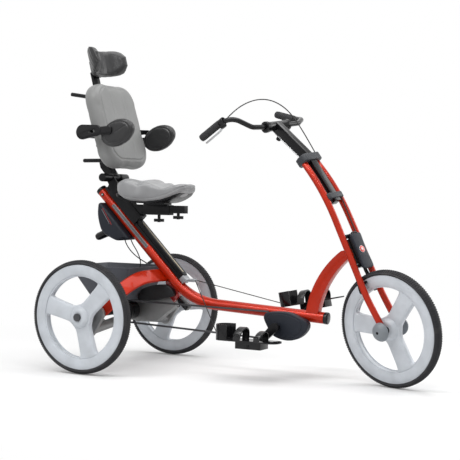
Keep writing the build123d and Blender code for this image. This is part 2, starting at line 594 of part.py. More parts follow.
os.makedirs("parts", exist_ok=True)
for name, shape in parts.items():
    solids = [move * solid for solid in shape.solids()]
    print(name, type(shape).__name__, len(solids), [round(s.volume) for s in solids][:4])
    export_step(solids[0] if len(solids) == 1 else Compound(children=solids), "parts/%s.step" % name)
print("shift", shift, "hub_s", hub_s, "box", box)
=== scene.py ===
"""Looks of an adaptive tricycle: painted tubes, moulded wheels, leatherette seat and slate mouldings.

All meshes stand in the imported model's own frame, in metres: +X forward, +Y to the rider's left, +Z up.
Places are written in millimetres from the rear axle, as the part's source has them; Yard turns them
into that frame, and Yard.fork and Yard.back do the same for the turned fork and the leaning back.
"""

from __future__ import annotations

import logging
import math
from dataclasses import dataclass, field
from enum import Enum
from typing import Callable, Iterable, Sequence

import bmesh
import bpy
from mathutils import Matrix, Vector
from mathutils.bvhtree import BVHTree
from mathutils.geometry import convex_hull_2d

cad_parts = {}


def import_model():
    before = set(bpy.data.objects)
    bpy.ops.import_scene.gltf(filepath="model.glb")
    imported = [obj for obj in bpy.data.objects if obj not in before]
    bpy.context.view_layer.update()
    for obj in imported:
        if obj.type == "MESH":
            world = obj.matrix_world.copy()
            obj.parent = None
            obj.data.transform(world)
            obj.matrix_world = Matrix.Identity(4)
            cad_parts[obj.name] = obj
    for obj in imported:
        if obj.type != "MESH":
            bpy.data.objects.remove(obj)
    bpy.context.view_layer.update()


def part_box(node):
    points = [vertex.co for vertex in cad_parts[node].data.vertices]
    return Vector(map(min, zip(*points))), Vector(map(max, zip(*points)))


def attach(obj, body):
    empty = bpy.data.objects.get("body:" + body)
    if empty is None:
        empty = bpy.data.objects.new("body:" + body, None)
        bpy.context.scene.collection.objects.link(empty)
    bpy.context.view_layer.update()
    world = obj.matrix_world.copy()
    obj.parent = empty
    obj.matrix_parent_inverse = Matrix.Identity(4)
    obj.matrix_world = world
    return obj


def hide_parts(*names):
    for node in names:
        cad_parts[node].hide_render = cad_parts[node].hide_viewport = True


LOG = logging.getLogger("tricycle")
MM = 0.001
Colour = tuple[float, float, float]
Flat = tuple[float, float]


class Body(str, Enum):
    """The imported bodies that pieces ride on."""

    FRAME = "frame"
    RIGHT = "rear_wheel_right"
    LEFT = "rear_wheel_left"
    STEER = "steering"
    FRONT = "front_wheel"
    CRANK = "crank"
    PEDAL_RIGHT = "pedal_right"
    PEDAL_LEFT = "pedal_left"
    SEAT = "seat"
    BACK = "back"


class Slot(str, Enum):
    """The record's material slots that pieces use."""

    ORANGE = "frame_orange"
    SLATE = "slate_plastic"
    BLACK = "black_plastic"
    BLACK_METAL = "black_metal"
    SILVER = "silver"
    STEEL = "steel"
    WHEEL = "wheel_grey"
    TYRE = "tyre_black"
    GRIP = "grip_rubber"
    SEAT = "seat_leather"
    BACK = "back_leather"
    DARK_LEATHER = "black_leather"
    LENS = "red_lens"
    STRAP = "strap"


# ---------------------------------------------------------------- materials


class Wire:
    """A shader output that ordinary arithmetic can be done on."""

    def __init__(self, bench: "Bench", socket: bpy.types.NodeSocket) -> None:
        """Keeps the bench that made the socket, so that sums can be added to it."""
        self.bench = bench
        self.socket = socket

    def _sum(self, operation: str, first: object, second: object) -> "Wire":
        """Adds one Math node."""
        return self.bench.make("ShaderNodeMath", {"operation": operation}, {0: first, 1: second})

    def __add__(self, other: object) -> "Wire":
        """Adds."""
        return self._sum("ADD", self, other)

    def __mul__(self, other: object) -> "Wire":
        """Multiplies."""
        return self._sum("MULTIPLY", self, other)


class Bench:
    """The nodes of a material or of the world, all of them made by one method."""

    def __init__(self, name: str, group: str = "materials") -> None:
        """Starts an empty material, or a world, of that name."""
        self.owner = getattr(bpy.data, group).new(name)
        self.owner.use_nodes = True
        self.tree = self.owner.node_tree
        self.tree.nodes.clear()

    def make(self, kind: str, settings: dict | None = None, values: dict | None = None, out: int | str = 0) -> Wire:
        """Adds a node.

        Args:
            kind: the node's type.
            settings: properties set first; "stops" fills a ramp with (place, value or colour) pairs.
            values: numbers, colours or wires for its sockets, by name or number.
            out: the output to return.

        Returns:
            The chosen output.
        """
        node = self.tree.nodes.new(kind)
        for key, value in (settings or {}).items():
            if key == "stops":
                ramp = node.color_ramp
                while len(ramp.elements) < len(value):
                    ramp.elements.new(1.0)
                for element, (place, shade) in zip(ramp.elements, value):
                    element.position = place
                    element.color = (*shade, 1.0) if isinstance(shade, tuple) else (shade, shade, shade, 1.0)
            else:
                setattr(node, key, value)
        for key, value in (values or {}).items():
            socket = node.inputs[key]
            if isinstance(value, Wire):
                self.tree.links.new(value.socket, socket)
            elif isinstance(value, tuple) and len(value) == 3 and socket.type == "RGBA":
                socket.default_value = (*value, 1.0)
            else:
                socket.default_value = value
        return Wire(self, node.outputs[out])

    def where(self, scale: Sequence[float] = (1, 1, 1), turn: Sequence[float] = (0, 0, 0)) -> Wire:
        """Object coordinates, stretched and turned."""
        here = self.make("ShaderNodeTexCoord", out="Object")
        return self.make("ShaderNodeMapping", None, {"Vector": here, "Scale": tuple(scale), "Rotation": tuple(turn)})

    def noise(self, scale: float, detail: float = 3.0, vector: Wire | None = None) -> Wire:
        """Soft noise from 0 to 1."""
        return self.make("ShaderNodeTexNoise", None,
                         {"Vector": vector or self.where(), "Scale": scale, "Detail": detail})

    def cells(self, scale: float, feature: str = "F1") -> Wire:
        """Distance in a Voronoi pattern."""
        return self.make("ShaderNodeTexVoronoi", {"feature": feature},
                         {"Vector": self.where(), "Scale": scale}, "Distance")

    def ramp(self, value: Wire, *stops: tuple) -> Wire:
        """Sends a value through a ramp."""
        return self.make("ShaderNodeValToRGB", {"stops": stops}, {"Fac": value})

    def mix(self, factor: object, first: object, second: object) -> Wire:
        """Mixes two colours."""
        return self.make("ShaderNodeMix", {"data_type": "RGBA"}, {0: factor, 6: first, 7: second}, 2)

    def bump(self, height: Wire, strength: float, distance: float, under: Wire | None = None) -> Wire:
        """Turns a height into a normal."""
        values = {"Height": height, "Strength": strength, "Distance": distance}
        if under:
            values["Normal"] = under
        return self.make("ShaderNodeBump", None, values)

    def finish(self, **inputs: object) -> bpy.types.Material:
        """Ends the material with one shader.

        Args:
            inputs: the shader's sockets, with _ for a space in a name.

        Returns:
            The material.
        """
        shader = self.make("ShaderNodeBsdfPrincipled", None, {k.replace("_", " "): v for k, v in inputs.items()})
        self.make_output(shader)
        return self.owner

    def make_output(self, shader: Wire, kind: str = "ShaderNodeOutputMaterial") -> None:
        """Links a shader to the output."""
        end = self.tree.nodes.new(kind)
        self.tree.links.new(shader.socket, end.inputs["Surface"])

    def mottled(self, colour: Colour, drift: Wire, dark: float, light: float, top: float = 0.7) -> Wire:
        """A colour that drifts between a darker and a lighter tone."""
        return self.mix(self.ramp(drift, (0.3, 0.0), (top, 1.0)), shaded(colour, dark), shaded(colour, light))


def placed(name: str, data: bpy.types.ID) -> bpy.types.Object:
    """An object of that data, linked to the scene."""
    obj = bpy.data.objects.new(name, data)
    bpy.context.scene.collection.objects.link(obj)
    return obj


def evaluated_mesh(obj: bpy.types.Object) -> bpy.types.Mesh:
    """A plain mesh of the object as its modifiers leave it."""
    return bpy.data.meshes.new_from_object(obj.evaluated_get(bpy.context.evaluated_depsgraph_get()))


def turned(axis: str, degrees: float) -> Matrix:
    """A turn about one axis."""
    return Matrix.Rotation(math.radians(degrees), 4, axis)


def moved(x: float, y: float, z: float) -> Matrix:
    """A shift."""
    return Matrix.Translation((x, y, z))


def shaded(colour: Colour, factor: float) -> Colour:
    """A colour made lighter or darker."""
    return tuple(min(1.0, c * factor) for c in colour)


@dataclass(frozen=True)
class Paint:
    """Metallic gloss paint under a clear coat, with fine flake and a little orange peel."""

    name: str
    colour: Colour
    flake: float = 0.5
    metallic: float = 0.45
    rough: float = 0.3
    coat: float = 0.9

    def brew(self) -> bpy.types.Material:
        """Makes the material."""
        b = Bench(self.name)
        flakes = b.cells(1400.0)
        tone = b.mottled(self.colour, b.noise(9.0, 4.0), 0.86, 1.08)
        tone = b.mix(b.ramp(flakes, (0.02, self.flake), (0.25, 0.0)), tone, shaded(self.colour, 1.35))
        dust = b.ramp(b.noise(35.0, 6.0), (0.45, 0.0), (0.8, 1.0))
        peel = b.bump(b.noise(60.0, 1.0), 0.02, 0.0003)
        return b.finish(Base_Color=tone, Metallic=self.metallic, Roughness=dust * 0.1 + self.rough,
                        Coat_Weight=self.coat, Coat_Roughness=0.05, Specular_IOR_Level=0.15, Normal=peel)


@dataclass(frozen=True)
class Moulding:
    """Moulded plastic with a spark-eroded grain, slight mottling and handling marks."""

    name: str
    colour: Colour
    rough: float = 0.5
    grain: float = 0.12
    scale: float = 1100.0
    coat: float = 0.0
    shine: float = 0.35

    def brew(self) -> bpy.types.Material:
        """Makes the material."""
        b = Bench(self.name)
        drift = b.noise(14.0, 5.0)
        tone = b.mottled(self.colour, drift, 0.9, 1.1, 0.72)
        marks = b.ramp(b.noise(60.0, 8.0, b.where((1, 1, 0.3))), (0.52, 0.0), (0.75, 1.0))
        grain = b.bump(b.cells(self.scale, "SMOOTH_F1"), self.grain, 0.0004)
        return b.finish(Base_Color=tone, Roughness=marks * 0.14 + (drift * 0.08 + (self.rough - 0.06)), Normal=grain,
                        Coat_Weight=self.coat, Coat_Roughness=0.12, Specular_IOR_Level=self.shine)


@dataclass(frozen=True)
class Rubber:
    """Tyre and grip rubber, dull, with a bloom and dust in its pores."""

    name: str
    colour: Colour
    dust: Colour = (0.09, 0.085, 0.08)
    rough: float = 0.72

    def brew(self) -> bpy.types.Material:
        """Makes the material."""
        b = Bench(self.name)
        pores = b.cells(900.0)
        drift = b.ramp(b.noise(24.0, 7.0), (0.5, 0.0), (0.85, 0.55))
        tone = b.mix(drift, self.colour, self.dust)
        skin = b.bump(pores, 0.25, 0.0004, b.bump(b.noise(180.0, 4.0), 0.12, 0.0008))
        return b.finish(Base_Color=tone, Roughness=drift * 0.15 + self.rough, Normal=skin, Specular_IOR_Level=0.3)


@dataclass(frozen=True)
class Leatherette:
    """Coated upholstery cloth: pebbled grain, faint creases, a soft sheen and a slow change of tone."""

    name: str
    colour: Colour
    rough: float = 0.46
    grain: float = 0.3
    crease: float = 0.25

    def brew(self) -> bpy.types.Material:
        """Makes the material."""
        b = Bench(self.name)
        pebble = b.cells(620.0, "SMOOTH_F1")
        fold = b.noise(26.0, 6.0, b.where((1.0, 0.55, 1.0)))
        tone = b.mottled(self.colour, b.noise(7.0, 3.0), 0.9, 1.08)
        tone = b.mix(b.ramp(pebble, (0.3, 0.0), (0.8, 0.3)), tone, shaded(self.colour, 0.7))
        skin = b.bump(fold, self.crease, 0.003, b.bump(pebble, self.grain, 0.0005))
        return b.finish(Base_Color=tone, Roughness=fold * 0.16 + (self.rough - 0.08), Normal=skin, Sheen_Weight=0.15,
                        Sheen_Roughness=0.4)


@dataclass(frozen=True)
class Metal:
    """Bare or plated metal with a fine lay of scratches along one axis."""

    name: str
    colour: Colour
    rough: float = 0.3
    lay: tuple[float, float, float] = (1.0, 0.06, 1.0)
    metallic: float = 1.0

    def brew(self) -> bpy.types.Material:
        """Makes the material."""
        b = Bench(self.name)
        lay = b.noise(700.0, 4.0, b.where(self.lay))
        stain = b.ramp(b.noise(18.0, 6.0), (0.4, 0.0), (0.8, 1.0))
        tone = b.mix(stain, self.colour, shaded(self.colour, 0.8))
        rough = lay * 0.16 + (stain * 0.12 + (self.rough - 0.08))
        return b.finish(Base_Color=tone, Metallic=self.metallic, Roughness=rough, Normal=b.bump(lay, 0.08, 0.0003))


@dataclass(frozen=True)
class Webbing:
    """Woven strap: two crossed waves of yarn."""

    name: str
    colour: Colour
    pitch: float = 650.0

    def brew(self) -> bpy.types.Material:
        """Makes the material."""
        b = Bench(self.name)
        warp, weft = (b.make("ShaderNodeTexWave", {"bands_direction": way},
                             {"Vector": b.where(), "Scale": self.pitch / share})
                      for way, share in (("X", 6), ("DIAGONAL", 8)))
        weave = warp * weft
        tone = b.mix(b.ramp(weave, (0.1, 0.0), (0.8, 1.0)), shaded(self.colour, 0.6), shaded(self.colour, 1.5))
        fuzz = b.noise(90.0, 6.0)
        return b.finish(Base_Color=tone, Roughness=fuzz * 0.15 + 0.78, Normal=b.bump(weave, 0.5, 0.0006))


@dataclass(frozen=True)
class Ruled:
    """A printed strip with pale rules across it at even steps."""

    name: str
    colour: Colour
    rule: Colour
    pitch: float = 11.0

    def brew(self) -> bpy.types.Material:
        """Makes the material."""
        b = Bench(self.name)
        slope = b.make("ShaderNodeSeparateXYZ", None, {"Vector": b.where((1, 1, 1), (0, math.radians(45), 0))}, "X")
        step = b.make("ShaderNodeMath", {"operation": "FRACT"}, {0: slope * (1000.0 / self.pitch)})
        rules = b.ramp(step, (0.0, 1.0), (0.14, 1.0), (0.16, 0.0))
        wear = b.noise(120.0, 5.0)
        tone = b.mix(rules * b.ramp(wear, (0.3, 0.5), (0.6, 1.0)), self.colour, self.rule)
        return b.finish(Base_Color=tone, Roughness=wear * 0.15 + 0.35, Normal=b.bump(wear, 0.05, 0.0003))


class Palette:
    """Every finish of the tricycle, brewed once when it is first asked for."""

    FINISHES = {
        "paint": (Paint("orange_red_paint", (0.43, 0.018, 0.002), 0.25, 0.3, 0.28, 0.3), Slot.ORANGE),
        "satin_black": (Moulding("satin_black_metal", (0.007, 0.007, 0.008), 0.32, 0.05, 1600.0, 0.1, 0.14),
                        Slot.BLACK_METAL),
        "gloss_black": (Moulding("gloss_black_plastic", (0.006, 0.006, 0.007), 0.2, 0.03, 1300.0, 0.25, 0.18),
                        Slot.BLACK),
        "slate": (Moulding("slate_plastic", (0.018, 0.021, 0.029), 0.44, 0.16, 1100.0, 0.0, 0.2), Slot.SLATE),
        "slate_pale": (Moulding("slate_tub_plastic", (0.075, 0.08, 0.095), 0.5, 0.16), Slot.SLATE),
        "wheel": (Moulding("pale_grey_wheel_plastic", (0.54, 0.57, 0.61), 0.38, 0.08, 900.0, 0.25), Slot.WHEEL),
        "tyre": (Rubber("tyre_rubber", (0.026, 0.026, 0.029)), Slot.TYRE),
        "grip": (Rubber("grip_rubber", (0.03, 0.03, 0.032), (0.06, 0.06, 0.06), 0.66), Slot.GRIP),
        "seat": (Leatherette("warm_grey_leatherette", (0.25, 0.252, 0.258), 0.36), Slot.SEAT),
        "back": (Leatherette("mid_grey_leatherette", (0.215, 0.217, 0.215), 0.46), Slot.BACK),
        "head": (Leatherette("black_satin_leatherette", (0.014, 0.014, 0.015), 0.34, 0.2, 0.35), Slot.DARK_LEATHER),
        "silver": (Metal("satin_silver", (0.56, 0.57, 0.58), 0.34), Slot.SILVER),
        "beam": (Metal("blasted_silver", (0.28, 0.28, 0.28), 0.45, (0.05, 1.0, 1.0), 0.8), Slot.SILVER),
        "steel": (Metal("brushed_steel", (0.4, 0.41, 0.43), 0.3), Slot.STEEL),
        "strap": (Moulding("black_coated_strap", (0.007, 0.007, 0.008), 0.26, 0.1, 700.0, 0.3, 0.3), Slot.STRAP),
        "cord": (Webbing("black_cord", (0.02, 0.02, 0.02), 1500.0), Slot.STRAP),
        # Dark red. The lamp glass has it as its own colour; on the frame lug it is the frame's red with painted
        # shade.
        "lens": (Paint("dark_red_enamel", (0.28, 0.012, 0.01), 0.2, 0.3, 0.25), Slot.LENS),
        "white": (Moulding("white_print", (0.75, 0.75, 0.75), 0.4, 0.05), Slot.SILVER),
        "badge": (Paint("badge_red", (0.62, 0.02, 0.012), 0.0, 0.1, 0.3), Slot.LENS),
        "thread": (Moulding("grey_thread", (0.16, 0.16, 0.16), 0.7, 0.3, 1500.0), Slot.BACK),
        # Plain black for the plate under the arms.
        "under_arm_black": (Moulding("black_cover_plastic", (0.008, 0.008, 0.009), 0.5, 0.2), Slot.BLACK),
        "dark_grey": (Moulding("dark_grey_plastic", (0.035, 0.038, 0.044), 0.42, 0.12), Slot.SLATE),
        "hub_grey": (Moulding("hub_grey_plastic", (0.2, 0.22, 0.24), 0.36, 0.1, 900.0, 0.2), Slot.SLATE),
        "dark_steel": (Metal("blued_steel", (0.09, 0.09, 0.095), 0.32), Slot.BLACK_METAL),
        "sand": (Moulding("sand_print", (0.42, 0.36, 0.26), 0.5, 0.05), Slot.BLACK_METAL),
        "print_grey": (Moulding("grey_print", (0.3, 0.3, 0.31), 0.5, 0.05), Slot.SLATE),
        "scale_strip": (Ruled("size_strip_print", (0.07, 0.075, 0.085), (0.38, 0.38, 0.38), 11.0), Slot.SILVER),
        "cable": (Moulding("cable_sheath", (0.015, 0.015, 0.015), 0.45, 0.1, 1500.0), Slot.BLACK),
    }

    def __init__(self) -> None:
        """Starts with nothing brewed."""
        self.brewed: dict[str, bpy.types.Material] = {}

    def material(self, finish: str) -> bpy.types.Material:
        """The material of a finish."""
        if finish not in self.brewed:
            self.brewed[finish] = self.FINISHES[finish][0].brew()
        return self.brewed[finish]

    def slot(self, finish: str) -> str:
        """The record's slot of a finish."""
        return self.FINISHES[finish][1].value


# ---------------------------------------------------------------- places and meshes


@dataclass
class Yard:
    """Turns places in millimetres from the rear axle into the frame, in metres."""

    rake: float = 25.0
    steer: float = -18.0
    head: Flat = (1115.0, 581.0)
    pivot: Flat = (-99.0, 865.0)
    lean: float = -15.5
    front_hub: Flat = (12.0, -372.680274)
    shift: float = field(init=False)

    def __post_init__(self) -> None:
        """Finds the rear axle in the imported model."""
        low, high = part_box("rear_right_tyre")
        self.shift = (low.x + high.x) / 2

    def at(self, x: float, y: float, z: float) -> Vector:
        """A place beside the rear axle."""
        return Vector((x * MM + self.shift, y * MM, z * MM))

    def _matrix(self, x: float, z: float, turn: Matrix) -> Matrix:
        """A frame at a side-view place, which takes millimetres."""
        return Matrix.Translation(self.at(x, 0, z)) @ turn @ Matrix.Scale(MM, 4)

    @property
    def plain(self) -> Matrix:
        """Millimetres from the rear axle to the frame."""
        return self._matrix(0, 0, Matrix.Identity(4))

    @property
    def fork(self) -> Matrix:
        """Millimetres along the turned fork (forward, left, up the steering axis) to the frame."""
        return self._matrix(*self.head, turned("Y", -self.rake) @ turned("Z", self.steer))

    @property
    def back(self) -> Matrix:
        """Millimetres along the leaning back (forward, left, up from its pivot) to the frame."""
        return self._matrix(*self.pivot, turned("Y", self.lean))

    @property
    def rail(self) -> Matrix:
        """Millimetres along the seat rail (down the slope, left, out of it) to the frame."""
        return self._matrix(320, 320, turned("Y", 45))


def facing_side(base: Matrix, y: float) -> Matrix:
    """A plate's plane turned to the side view of a base: its axes run forward, up and to the right."""
    return base @ moved(0, y, 0) @ turned("X", 90)


def facing_front(base: Matrix, x: float) -> Matrix:
    """A plate's plane turned to the front view of a base: its axes run left, up and forward."""
    axes = Matrix(((0, 0, 1, 0), (1, 0, 0, 0), (0, 1, 0, 0), (0, 0, 0, 1)))
    return base @ moved(x, 0, 0) @ axes


def rounded_run(points: Iterable[Sequence[float]], radii: float | Sequence[float], step: float = 5.0) -> list[Vector]:
    """Straight runs joined by arcs.

    Args:
        points: the corners.
        radii: one radius, or one for each inner corner.
        step: degrees between points on an arc.

    Returns:
        The points of the path.
    """
    corners = [Vector(p) for p in points]
    rounds = [radii] * (len(corners) - 2) if isinstance(radii, (int, float)) else list(radii)
    path = [corners[0]]
    for before, corner, after, radius in zip(corners, corners[1:], corners[2:], rounds):
        inward, outward = (before - corner).normalized(), (after - corner).normalized()
        half = inward.angle(outward) / 2
        centre = corner + (inward + outward).normalized() * radius / math.sin(half)
        spoke = corner + inward * radius / math.tan(half) - centre
        turn = math.pi - 2 * half
        axis = spoke.cross(corner + outward * radius / math.tan(half) - centre).normalized()
        count = max(2, math.ceil(math.degrees(turn) / step))
        path += [centre + Matrix.Rotation(turn * k / count, 3, axis) @ spoke for k in range(count + 1)]
    return path + [corners[-1]]


def circle(radius: float, count: int = 24) -> list[Flat]:
    """Points of a round section."""
    angles = [2 * math.pi * k / count for k in range(count)]
    return [(radius * math.cos(a), radius * math.sin(a)) for a in angles]


def rounded_box(width: float, height: float, radius: float, count: int = 5) -> list[Flat]:
    """Points of an oblong with rounded corners."""
    points = []
    for corner, (sx, sy) in enumerate(((1, 1), (-1, 1), (-1, -1), (1, -1))):
        for k in range(count + 1):
            angle = math.pi / 2 * (corner + k / count)
            points.append((sx * (width / 2 - radius) + radius * math.cos(angle),
                           sy * (height / 2 - radius) + radius * math.sin(angle)))
    return points


def hulled(*circles: tuple[float, float, float]) -> list[Flat]:
    """The outline round some circles, each given by its middle and radius."""
    points = [(x + a, z + b) for x, z, radius in circles for a, b in circle(radius, 48)]
    return [points[k] for k in convex_hull_2d(points)]


def smooth_through(stations: Sequence[Sequence[float]], steps: int = 6) -> list[tuple[float, ...]]:
    """Rows of numbers, filled in smoothly between the given ones."""
    rows = [tuple(map(float, s)) for s in stations]
    out = []
    for i in range(len(rows) - 1):
        a, b, c, d = rows[max(i - 1, 0)], rows[i], rows[i + 1], rows[min(i + 2, len(rows) - 1)]
        for k in range(steps):
            t = k / steps
            out.append(tuple(0.5 * (2 * q + (r - p) * t + (2 * p - 5 * q + 4 * r - s) * t * t
                                    + (3 * q - p - 3 * r + s) * t ** 3) for p, q, r, s in zip(a, b, c, d)))
    return out + [rows[-1]]


class Mesher:
    """Makes mesh objects. Sizes are in millimetres, and each method's matrix takes them to the frame."""

    @staticmethod
    def new(name: str, bm: bmesh.types.BMesh, place: Matrix, smooth: float = 35.0) -> bpy.types.Object:
        """Turns a bmesh into an object.

        Args:
            name: the piece's name.
            bm: its shape, which is freed.
            place: to the frame.
            smooth: degrees up to which an edge is shaded smooth.

        Returns:
            The object, linked to the scene.
        """
        bmesh.ops.remove_doubles(bm, verts=bm.verts, dist=1e-4 if place.median_scale < 0.1 else 1e-7)
        bmesh.ops.recalc_face_normals(bm, faces=bm.faces)
        bm.transform(place)
        mesh = bpy.data.meshes.new(name)
        bm.to_mesh(mesh)
        bm.free()
        obj = placed(name, mesh)
        Mesher.shade(obj, smooth)
        return obj

    @staticmethod
    def shade(obj: bpy.types.Object, smooth: float = 35.0) -> None:
        """Shades faces smooth, and marks edges sharper than that angle as sharp."""
        mesh = obj.data
        bm = bmesh.new()
        bm.from_mesh(mesh)
        limit = math.radians(smooth)
        for face in bm.faces:
            face.smooth = True
        for edge in bm.edges:
            edge.smooth = len(edge.link_faces) == 2 and edge.calc_face_angle(0.0) < limit
        bm.to_mesh(mesh)
        bm.free()

    @staticmethod
    def rings(bm: bmesh.types.BMesh, loops: Sequence[Sequence[Vector]], closed: bool = False) -> None:
        """Skins a row of rings of equal count, and closes its ends unless it runs round."""
        made = [[bm.verts.new(p) for p in loop] for loop in loops]
        pairs = list(zip(made, made[1:])) + ([(made[-1], made[0])] if closed else [])
        for first, second in pairs:
            count = len(first)
            for k in range(count):
                bm.faces.new((first[k], first[(k + 1) % count], second[(k + 1) % count], second[k]))
        if not closed:
            bm.faces.new(made[0][::-1])
            bm.faces.new(made[-1])

    @classmethod
    def skin(cls, name: str, loops: Sequence[Sequence[Vector]], place: Matrix, smooth: float = 35.0,
             closed: bool = False) -> bpy.types.Object:
        """An object skinned over a row of rings."""
        bm = bmesh.new()
        cls.rings(bm, loops, closed)
        return cls.new(name, bm, place, smooth)

    @classmethod
    def sweep(cls, name: str, path: Sequence[Sequence[float]], section: Sequence[Flat], place: Matrix,
              up: Sequence[float] = (0, 0, 1), dome: float = 0.0) -> bpy.types.Object:
        """Carries a section along a path.

        Args:
            name: the piece's name.
            path: points in millimetres.
            section: the outline, as (across, up) of the path.
            place: to the frame.
            up: the direction that the section's second number follows.
            dome: how far the ends are rounded off, as a share of the section.

        Returns:
            The object.
        """
        points = [Vector(p) for p in path]
        loops = []
        for behind, point, ahead in zip(points[:1] + points, points, points[1:] + points[-1:]):
            run = (ahead - behind).normalized()
            across = run.cross(Vector(up)).normalized()
            rise = across.cross(run)
            loops.append([point + (across * a + rise * b) for a, b in section])
        if dome:
            reach = max(abs(a) for a, _ in section) * dome
            for end, run in ((0, points[0] - points[1]), (-1, points[-1] - points[-2])):
                run.normalize()
                centre, ring, extra = points[end], loops[end], []
                for k in range(1, 4):
                    angle = math.pi / 2 * k / 3.4
                    lift = run * reach * math.sin(angle)
                    extra.append([centre + (p - centre) * math.cos(angle) + lift for p in ring])
                loops = extra[::-1] + loops if end == 0 else loops + extra
        return cls.skin(name, loops, place)

    @classmethod
    def lathe(cls, name: str, profile: Sequence[Flat], place: Matrix, count: int = 96, closed: bool = True,
              smooth: float = 35.0) -> bpy.types.Object:
        """Turns a profile of (radius, along) round the second axis."""
        loops = []
        for k in range(count):
            angle = 2 * math.pi * k / count
            loops.append([Vector((r * math.cos(angle), along, r * math.sin(angle))) for r, along in profile])
        bm = bmesh.new()
        made = [[bm.verts.new(p) for p in loop] for loop in loops]
        steps = len(profile) if closed else len(profile) - 1
        for first, second in zip(made, made[1:] + made[:1]):
            for k in range(steps):
                quad = (first[k], first[(k + 1) % len(profile)], second[(k + 1) % len(profile)], second[k])
                bm.faces.new(quad)
        return cls.new(name, bm, place, smooth)

    @classmethod
    def plate(cls, name: str, outlines: Sequence[Sequence[Flat]], thick: float, edge: float, place: Matrix,
              smooth: float = 35.0, steps: int = 3) -> bpy.types.Object:
        """A flat piece with rounded edges, its first outline outside and the others holes.

        Args:
            name: the piece's name.
            outlines: closed outlines, in the plate's own plane.
            thick: its thickness.
            edge: the radius of its edges.
            place: to the frame; the plate lies about its third axis.
            smooth: the shading angle.
            steps: the faces round an edge.

        Returns:
            The object.
        """
        curve = bpy.data.curves.new(name, "CURVE")
        curve.dimensions = "2D"
        curve.fill_mode = "BOTH"
        curve.extrude = thick / 2 - edge
        curve.bevel_depth = edge
        curve.bevel_resolution = steps - 1
        curve.offset = -edge
        for outline in outlines:
            spline = curve.splines.new("POLY")
            spline.points.add(len(outline) - 1)
            for point, (a, b) in zip(spline.points, outline):
                point.co = (a, b, 0, 1)
            spline.use_cyclic_u = True
        source = placed(name, curve)
        bpy.context.view_layer.update()
        mesh = evaluated_mesh(source)
        bpy.data.objects.remove(source)
        bm = bmesh.new()
        bm.from_mesh(mesh)
        bpy.data.meshes.remove(mesh)
        return cls.new(name, bm, place, smooth)

    @classmethod
    def softened(cls, name: str, node: str, width: float, smooth: float) -> bpy.types.Object:
        """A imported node's shape with its edges rounded.

        Args:
            name: the new piece's name.
            node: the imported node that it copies.
            width: the rounding, in millimetres.
            smooth: the shading angle.

        Returns:
            The object.
        """
        bm = bmesh.new()
        bm.from_mesh(bpy.data.objects[node].data)
        bmesh.ops.remove_doubles(bm, verts=bm.verts, dist=1e-5)
        bmesh.ops.dissolve_limit(bm, angle_limit=math.radians(1.2), verts=bm.verts, edges=bm.edges)
        sharp = [e for e in bm.edges if len(e.link_faces) == 2 and e.calc_face_angle(0.0) > math.radians(33)]
        if width:
            bmesh.ops.bevel(bm, geom=sharp, offset=width * MM, offset_type="OFFSET", segments=2, profile=0.6,
                            affect="EDGES", clamp_overlap=True)
        bmesh.ops.triangulate(bm, faces=[f for f in bm.faces if len(f.verts) > 4])
        return cls.new(name, bm, Matrix.Identity(4), smooth)

    @staticmethod
    def join(name: str, pieces: Sequence[bpy.types.Object], smooth: float = 35.0) -> bpy.types.Object:
        """Makes one object of several."""
        bm = bmesh.new()
        for piece in pieces:
            mesh = piece.data
            bm.from_mesh(mesh)
            bpy.data.objects.remove(piece)
            bpy.data.meshes.remove(mesh)
        mesh = bpy.data.meshes.new(name)
        bm.to_mesh(mesh)
        bm.free()
        obj = placed(name, mesh)
        Mesher.shade(obj, smooth)
        return obj


